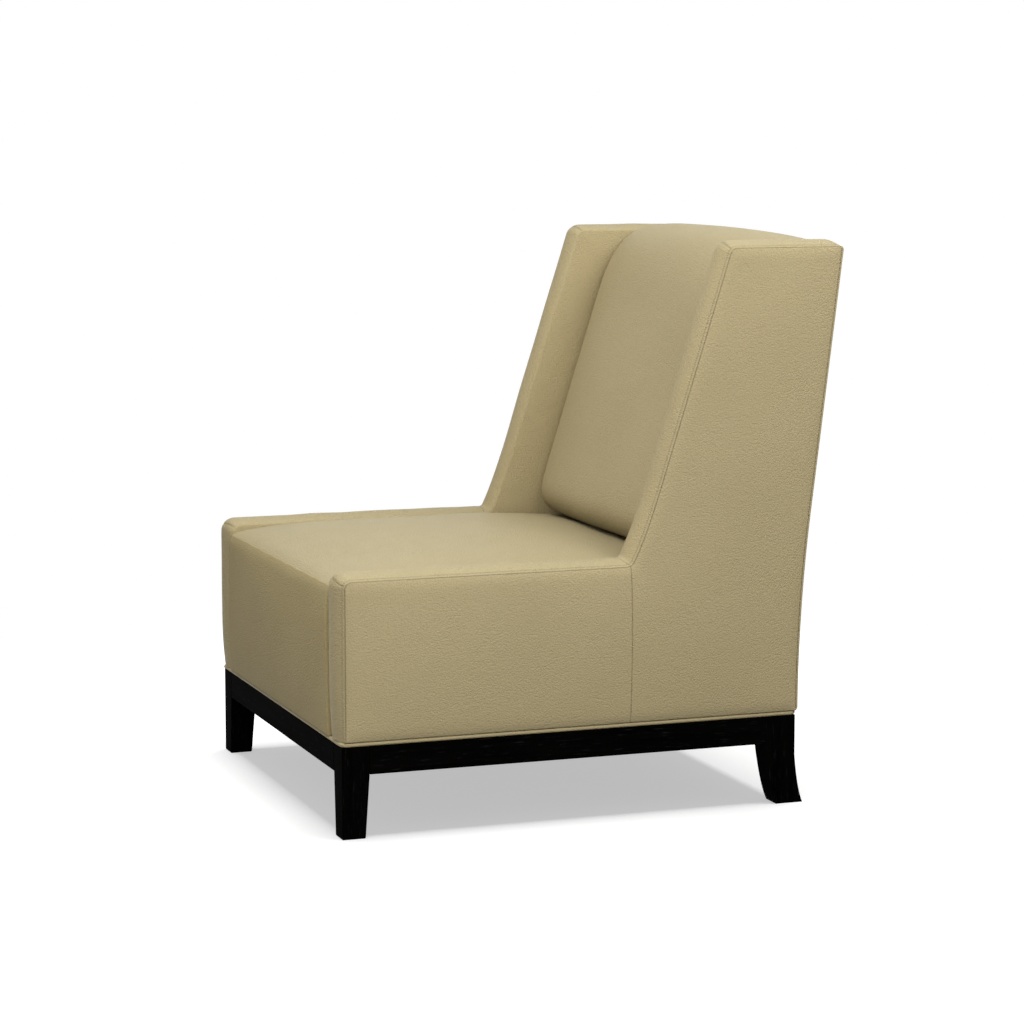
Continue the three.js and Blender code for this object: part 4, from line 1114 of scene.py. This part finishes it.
def leather_material(name, stitched=False, tint=(0.99, 1.0, 0.985), gloss=0.07):
    """Pebbled leather: cells of 2 to 3 mm with pores between them, slow changes of tone, a painted sheen
    that makes it paler where it faces up, and painted shade that darkens it in the seams and under the
    back pad's roll."""
    base = scaled(slot_color("leather"), *tint)
    looks = Looks(name, base, 0.42, gloss)
    drift = {0: looks.noise(220, 1.0), 1: (0.0016, 0.0016, 0.0016), 2: looks.place}
    bent = looks.node("ShaderNodeVectorMath", drift, operation="MULTIPLY_ADD").outputs[0]
    pebble, fine = looks.cells(380, bent, Smoothness=0.35), looks.cells(1000, bent)
    crease = looks.noise(240, 3.0, 0.6, 0.8)
    height = looks.math("MULTIPLY_ADD", pebble, -1.0, looks.math("MULTIPLY", fine, -0.25))
    height = looks.math("MULTIPLY_ADD", crease, 0.35, height)
    stretch = looks.ramp(looks.noise(14, 2.0), 0.3, 0.7, 0.70, 1.0)
    normal = looks.bump(looks.math("MULTIPLY", height, stretch), 1.0, 0.0011)
    if stitched:
        beat = looks.beat(looks.mark("stitch_run"), STITCH_PITCH)
        near = looks.ramp(looks.mark("stitch_gap"), 0.0, 0.0025, 1.0, 0.0)
        normal = looks.bump(looks.math("MULTIPLY", beat, near), 1.0, 0.00025, Normal=normal)
    color = looks.toned(looks.noise(7, 3.0, 0.55), 0.3, 0.7, 0.965, 1.03)
    warm = looks.ramp(looks.noise(23, 2.0), 0.35, 0.7, 0.0, 0.15)
    color = looks.mix(warm, color, scaled(base, 1.01, 0.985, 0.93))
    # Painted sheen: paler and bluer where the surface faces up, standing in for the whitish highlight
    # from light above
    facing = looks.node("ShaderNodeNewGeometry").outputs["Normal"]
    painted_sheen = looks.ramp(looks.axis(facing, "Z"), 0.50, 0.98)
    color = looks.mix(painted_sheen, color, scaled(base, 0.98, 1.01, 1.06))
    color = looks.darkened(looks.ramp(pebble, 0.25, 0.75, 0.0, 0.22), color, 0.72)
    # Painted shade: darker where the seam_shade mark is set, in seams, darts, the topstitch groove and
    # under the back pad's roll
    color = looks.darkened(looks.math("MULTIPLY", looks.mark("seam_shade"), 0.90), color, 0.30)
    rough = looks.ramp(looks.math("ADD", looks.noise(30, 2.0), pebble), 0.4, 1.3, 0.40, 0.50)
    return looks.wear(color=color, rough=rough, normal=normal)


def thread_material():
    looks = Looks("khaki_thread", scaled(slot_color("leather"), 1.12), 0.6, 0.3)
    twist = looks.noise(2600, 1.0)
    return looks.wear(color=looks.toned(twist, 0.3, 0.7, 0.85, 1), normal=looks.bump(twist, 0.4, 0.0002))


def black_wood(name, scale):
    """Oak under a satin black stain: open pores drawn out along the grain, which catch a little grey."""
    looks = Looks(name, slot_color("ebony_wood"), 0.55, 0.001)
    long = looks.stretched(scale)
    rings = looks.noise(60, 4.0, 0.6, 0.4, long)
    pores = looks.ramp(looks.noise(420, 2.0, 0.6, 0.0, long), 0.60, 0.74)
    color = looks.toned(rings, 0.35, 0.7, 0.15, 0.5)
    color = looks.mix(looks.math("MULTIPLY", pores, 0.6), color, (0.016, 0.015, 0.015))
    height = looks.math("SUBTRACT", looks.math("MULTIPLY", rings, 0.4), pores)
    rough = looks.ramp(rings, 0.3, 0.7, 0.48, 0.62)
    return looks.wear(color=color, rough=rough, normal=looks.bump(height, 0.35, 0.0003))


def raw_wood(name, scale, layered=False):
    """Unfinished wood with its grain along one way, or plywood with the edges of its plies."""
    looks = Looks(name, slot_color("frame_wood"), 0.72, 0.3)
    long = looks.stretched(scale)
    rings = looks.noise(42, 5.0, 0.62, 1.2, long)
    fibres = looks.noise(500, 2.0, 0.6, 0.0, long)
    color = looks.toned(rings, 0.32, 0.68, 0.66, 1.1)
    color = looks.darkened(looks.ramp(fibres, 0.55, 0.8, 0.0, 0.5), color, 0.5)
    if layered:
        plies = looks.beat(looks.axis(looks.place, "X"), 0.004)
        color = looks.darkened(looks.ramp(plies, -0.2, 0.2, 0.0, 0.35), color, 0.55)
    rough = looks.ramp(rings, 0.3, 0.7, 0.65, 0.8)
    return looks.wear(color=color, rough=rough, normal=looks.bump(fibres, 0.3, 0.0003))


def foam_material():
    looks = Looks("upholstery_foam", slot_color("foam"), 0.95, 0.1)
    pores = looks.cells(700)
    color = looks.toned(looks.noise(40, 3.0), 0.3, 0.7, 0.92, 1)
    color = looks.darkened(looks.ramp(pores, 0.45, 0.8, 0.0, 0.6), color, 0.6)
    return looks.wear(color=color, normal=looks.bump(pores, 0.6, 0.0005))


def fibre_material(name, slot, scale, depth):
    """Felted or bonded fibres: tangled fine lines with soft clumps."""
    looks = Looks(name, slot_color(slot), 0.95, 0.1)
    tangle = looks.noise(scale, 6.0, 0.75, 2.5)
    clumps = looks.noise(scale / 9, 3.0, 0.6)
    color = looks.toned(tangle, 0.35, 0.68, 0.66, 1.08)
    color = looks.darkened(looks.ramp(clumps, 0.4, 0.7, 0.0, 0.3), color, 0.8)
    looks.put(looks.bsdf, {"Sheen Weight": 0.2, "Sheen Roughness": 0.6})
    return looks.wear(color=color, normal=looks.bump(looks.math("ADD", tangle, clumps), 0.6, depth))


def webbing_material():
    """Woven ribs across the strap, crossed by its threads."""
    looks = Looks("elastic_webbing", slot_color("webbing"), 0.85, 0.2)
    along = looks.beat(looks.axis(looks.place, "Z"), 0.0024)
    across = looks.beat(looks.axis(looks.place, "X"), 0.0018)
    weave = looks.math("MULTIPLY", along, across)
    color = looks.toned(weave, -0.5, 0.6, 0.5, 1.7)
    return looks.wear(color=color, normal=looks.bump(looks.math("ADD", weave, along), 0.6, 0.0004))


def steel_material(name, spangle, finest):
    """Scratched metal, with a spangle of the scale given."""
    looks = Looks(name, slot_color("steel"), 0.34, 0.5, 1.0)
    scratches = looks.noise(900, 3.0, 0.7)
    color = looks.toned(looks.cells(spangle), 0.2, 0.8, 1.25, 0.85)
    rough = looks.ramp(scratches, 0.35, 0.7, finest, 0.5)
    return looks.wear(color=color, rough=rough, normal=looks.bump(scratches, 0.12, 0.0002))


def dress_frame():
    """Materials and softened edges for the CAD nodes that stay."""
    across, ply = raw_wood("beech_across", (0.08, 1, 1)), raw_wood("birch_plywood", (1, 1, 0.12), True)
    zinc = steel_material("zinc_plate", 160, 0.26)
    kinds = [
        ("_leg_", black_wood("black_leg_wood", (1, 1, 0.07)), 0.0016),
        ("side_apron", black_wood("black_side_wood", (1, 0.07, 1)), 0.0011),
        ("_apron", black_wood("black_cross_wood", (0.07, 1, 1)), 0.0011),
        ("corner_block", across, 0.0012),
        ("side_seat_rail", raw_wood("beech_along", (1, 0.08, 1)), 0.0015),
        ("side_frame", ply, 0.0008),
        ("back_stile", raw_wood("beech_upright", (1, 1, 0.08)), 0.0015),
        ("_rail", across, 0.0015),
        ("bolt", zinc, 0.0004),
        ("clip", zinc, 0.0002),
        ("spring", steel_material("spring_wire", 60, 0.3), 0.0),
    ]
    for name, node in nodes.items():
        if node.hide_render:
            continue
        material, round_edge = next((m, r) for key, m, r in kinds if key in name)
        node.data.materials.clear()
        node.data.materials.append(material)
        if round_edge:
            modify(node, "whole", "WELD", merge_threshold=0.00001)
            modify(node, "round_edges", "BEVEL", width=round_edge, segments=2,
                   limit_method="ANGLE", angle_limit=math.radians(38))
            modify(node, "flat_faces", "WEIGHTED_NORMAL", weight=80)


# The chair

leather = leather_material("khaki_leather")
# A shaded copy of the same leather for the seat's front: tinted darker and less blue as painted shade for
# the front's light, with lower gloss
front_leather = leather_material("khaki_leather_front", tint=(1.0, 0.985, 0.88), gloss=0.015)
stitched_leather = leather_material("khaki_leather_stitched", True)
thread = thread_material()
foam = foam_material()
wadding = fibre_material("bonded_wadding", "wadding", 500, 0.0008)
felt = fibre_material("needled_felt", "felt", 700, 0.0005)
cambric = fibre_material("black_cambric", "cambric", 900, 0.0003)
elastic = webbing_material()
for side in ("right", "left"):
    inner_side_leather(side, stitched_leather)
    topstitches(side, thread)
    outer_panels(side, leather)
    side_padding(side, foam)
    side_wadding(side, wadding)
seat_leather(leather, front_leather)
back_leather(leather)
outside_back(leather)
welt(leather)
seat_padding(foam)
back_padding(foam)
cloth_sheet("seat_felt", "felt_pad", felt)
cloth_sheet("dust_cover", "dust_cloth", cambric)
for i in (1, 2):
    webbing_strap(f"back_strap_{i}", f"back_webbing_{i}", elastic)
dress_frame()


# Floor, lamps and camera

CHAIR_MIDDLE = (0, 0, 0.4)
FLOOR_HALF = 6
FLOOR_REACH = 1.15
FLOOR_FADE = 0.55
FLOOR_GLOW = 0.49
FLOOR_COLOR = (0.62, 0.62, 0.62)
FLOOR_BOUNCE_COLOR = (0.15, 0.15, 0.15)
WHITE = (1, 1, 1)
EVEN_LIGHT = 0.19
OVERHEAD_PLACE = (0, 0.6, 12)
OVERHEAD_SIZE = 6.0
OVERHEAD_WATTS = 1950

# Soft boxes: name, turn and height in degrees, distance, size and watts

SOFT_BOXES = [
    ("top", 0, 65, 2.2, 1.2, 31.0),
    ("side", 105, 35, 3.0, 1.6, 47.0),
    ("rear", 150, 50, 2.2, 1.2, 13.0),
    ("front", 55, 15, 2.2, 1.2, 17.0),
]

# Camera, fitted to the photo

CAMERA_PLACE = (4.7886, -1.73765, 1.1348)
CAMERA_TARGET = (-0.0001, -0.00775, 0.4498)
CAMERA_LENS = 107.16
CAMERA_SENSOR = 36


def floor():
    """A plain white floor that keeps the chair's shadow and fades into the white background."""
    mesh = bpy.data.meshes.new("floor")
    corners = [(x * FLOOR_HALF, y * FLOOR_HALF, 0) for x, y in ((-1, -1), (1, -1), (1, 1), (-1, 1))]
    mesh.from_pydata(corners, [], [(0, 1, 2, 3)])
    ground = add_object("floor", mesh)
    looks = Looks("white_floor", FLOOR_COLOR, 1.0, 0.0)
    looks.put(looks.bsdf, {"Emission Color": WHITE, "Emission Strength": FLOOR_GLOW})
    dull = looks.node("ShaderNodeBsdfDiffuse", {"Color": FLOOR_BOUNCE_COLOR}).outputs[0]
    white = looks.node("ShaderNodeEmission").outputs[0]
    clear = looks.node("ShaderNodeBsdfTransparent").outputs[0]
    shown = looks.shown_to_camera()
    near, far = looks.blend(shown, dull, looks.bsdf.outputs[0]), looks.blend(shown, clear, white)
    away = looks.node("ShaderNodeVectorMath", {0: looks.place}, operation="LENGTH").outputs["Value"]
    share = looks.ramp(away, FLOOR_REACH, FLOOR_REACH + FLOOR_FADE)
    looks.put(looks.tree.nodes["Material Output"], {"Surface": looks.blend(share, near, far)})
    mesh.materials.append(looks.material)
    return ground


def aim(thing, place, target):
    thing.location = place
    thing.rotation_euler = (Vector(target) - Vector(place)).to_track_quat("-Z", "Y").to_euler()


def lamp(name, place, target, size, watts, lit):
    """A square soft box that lights only what a collection holds."""
    light = bpy.data.lights.new(name, "AREA")
    light.size = size
    light.energy = watts
    holder = add_object(name, light)
    aim(holder, place, target)
    holder.light_linking.receiver_collection = lit


def holding(name, pieces):
    """A collection, outside the scene's own, that says what a lamp lights."""
    group = bpy.data.collections.new(name)
    for piece in pieces:
        group.objects.link(piece)
    return group


def around(turn, height, distance):
    """A place at a turn from the chair's front towards its right side, and a height, in degrees."""
    turn, height = math.radians(turn), math.radians(height)
    out = distance * math.cos(height)
    return (out * math.sin(turn), -out * math.cos(turn), CHAIR_MIDDLE[2] + distance * math.sin(height))


def studio_world():
    """Even soft light from all round, behind a white backdrop."""
    world = bpy.data.worlds.new("studio")
    bpy.context.scene.world = world
    world.use_nodes = True
    sky = Nodes(world.node_tree)
    back = sky.tree.nodes["Background"]
    sky.put(back, {"Color": WHITE, "Strength": EVEN_LIGHT})
    white = sky.node("ShaderNodeBackground", {"Color": WHITE})
    surface = sky.blend(sky.shown_to_camera(), back.outputs[0], white.outputs[0])
    sky.put(sky.tree.nodes["World Output"], {"Surface": surface})


def camera():
    data = bpy.data.cameras.new("camera")
    data.lens = CAMERA_LENS
    data.sensor_width = CAMERA_SENSOR
    holder = add_object("camera", data)
    aim(holder, CAMERA_PLACE, CAMERA_TARGET)
    bpy.context.scene.camera = holder


ground = floor()
lit_from_overhead = holding("lit_from_overhead", [ground])
lamp("overhead", OVERHEAD_PLACE, (0, 0, 0), OVERHEAD_SIZE, OVERHEAD_WATTS, lit_from_overhead)
chair = [piece for piece in bpy.context.scene.objects if piece.type == "MESH" and piece is not ground]
lit_by_soft_boxes = holding("lit_by_soft_boxes", chair)
for name, turn, height, distance, size, watts in SOFT_BOXES:
    lamp(name, around(turn, height, distance), CHAIR_MIDDLE, size, watts, lit_by_soft_boxes)
studio_world()
camera()
bpy.context.scene.view_settings.view_transform = "Standard"
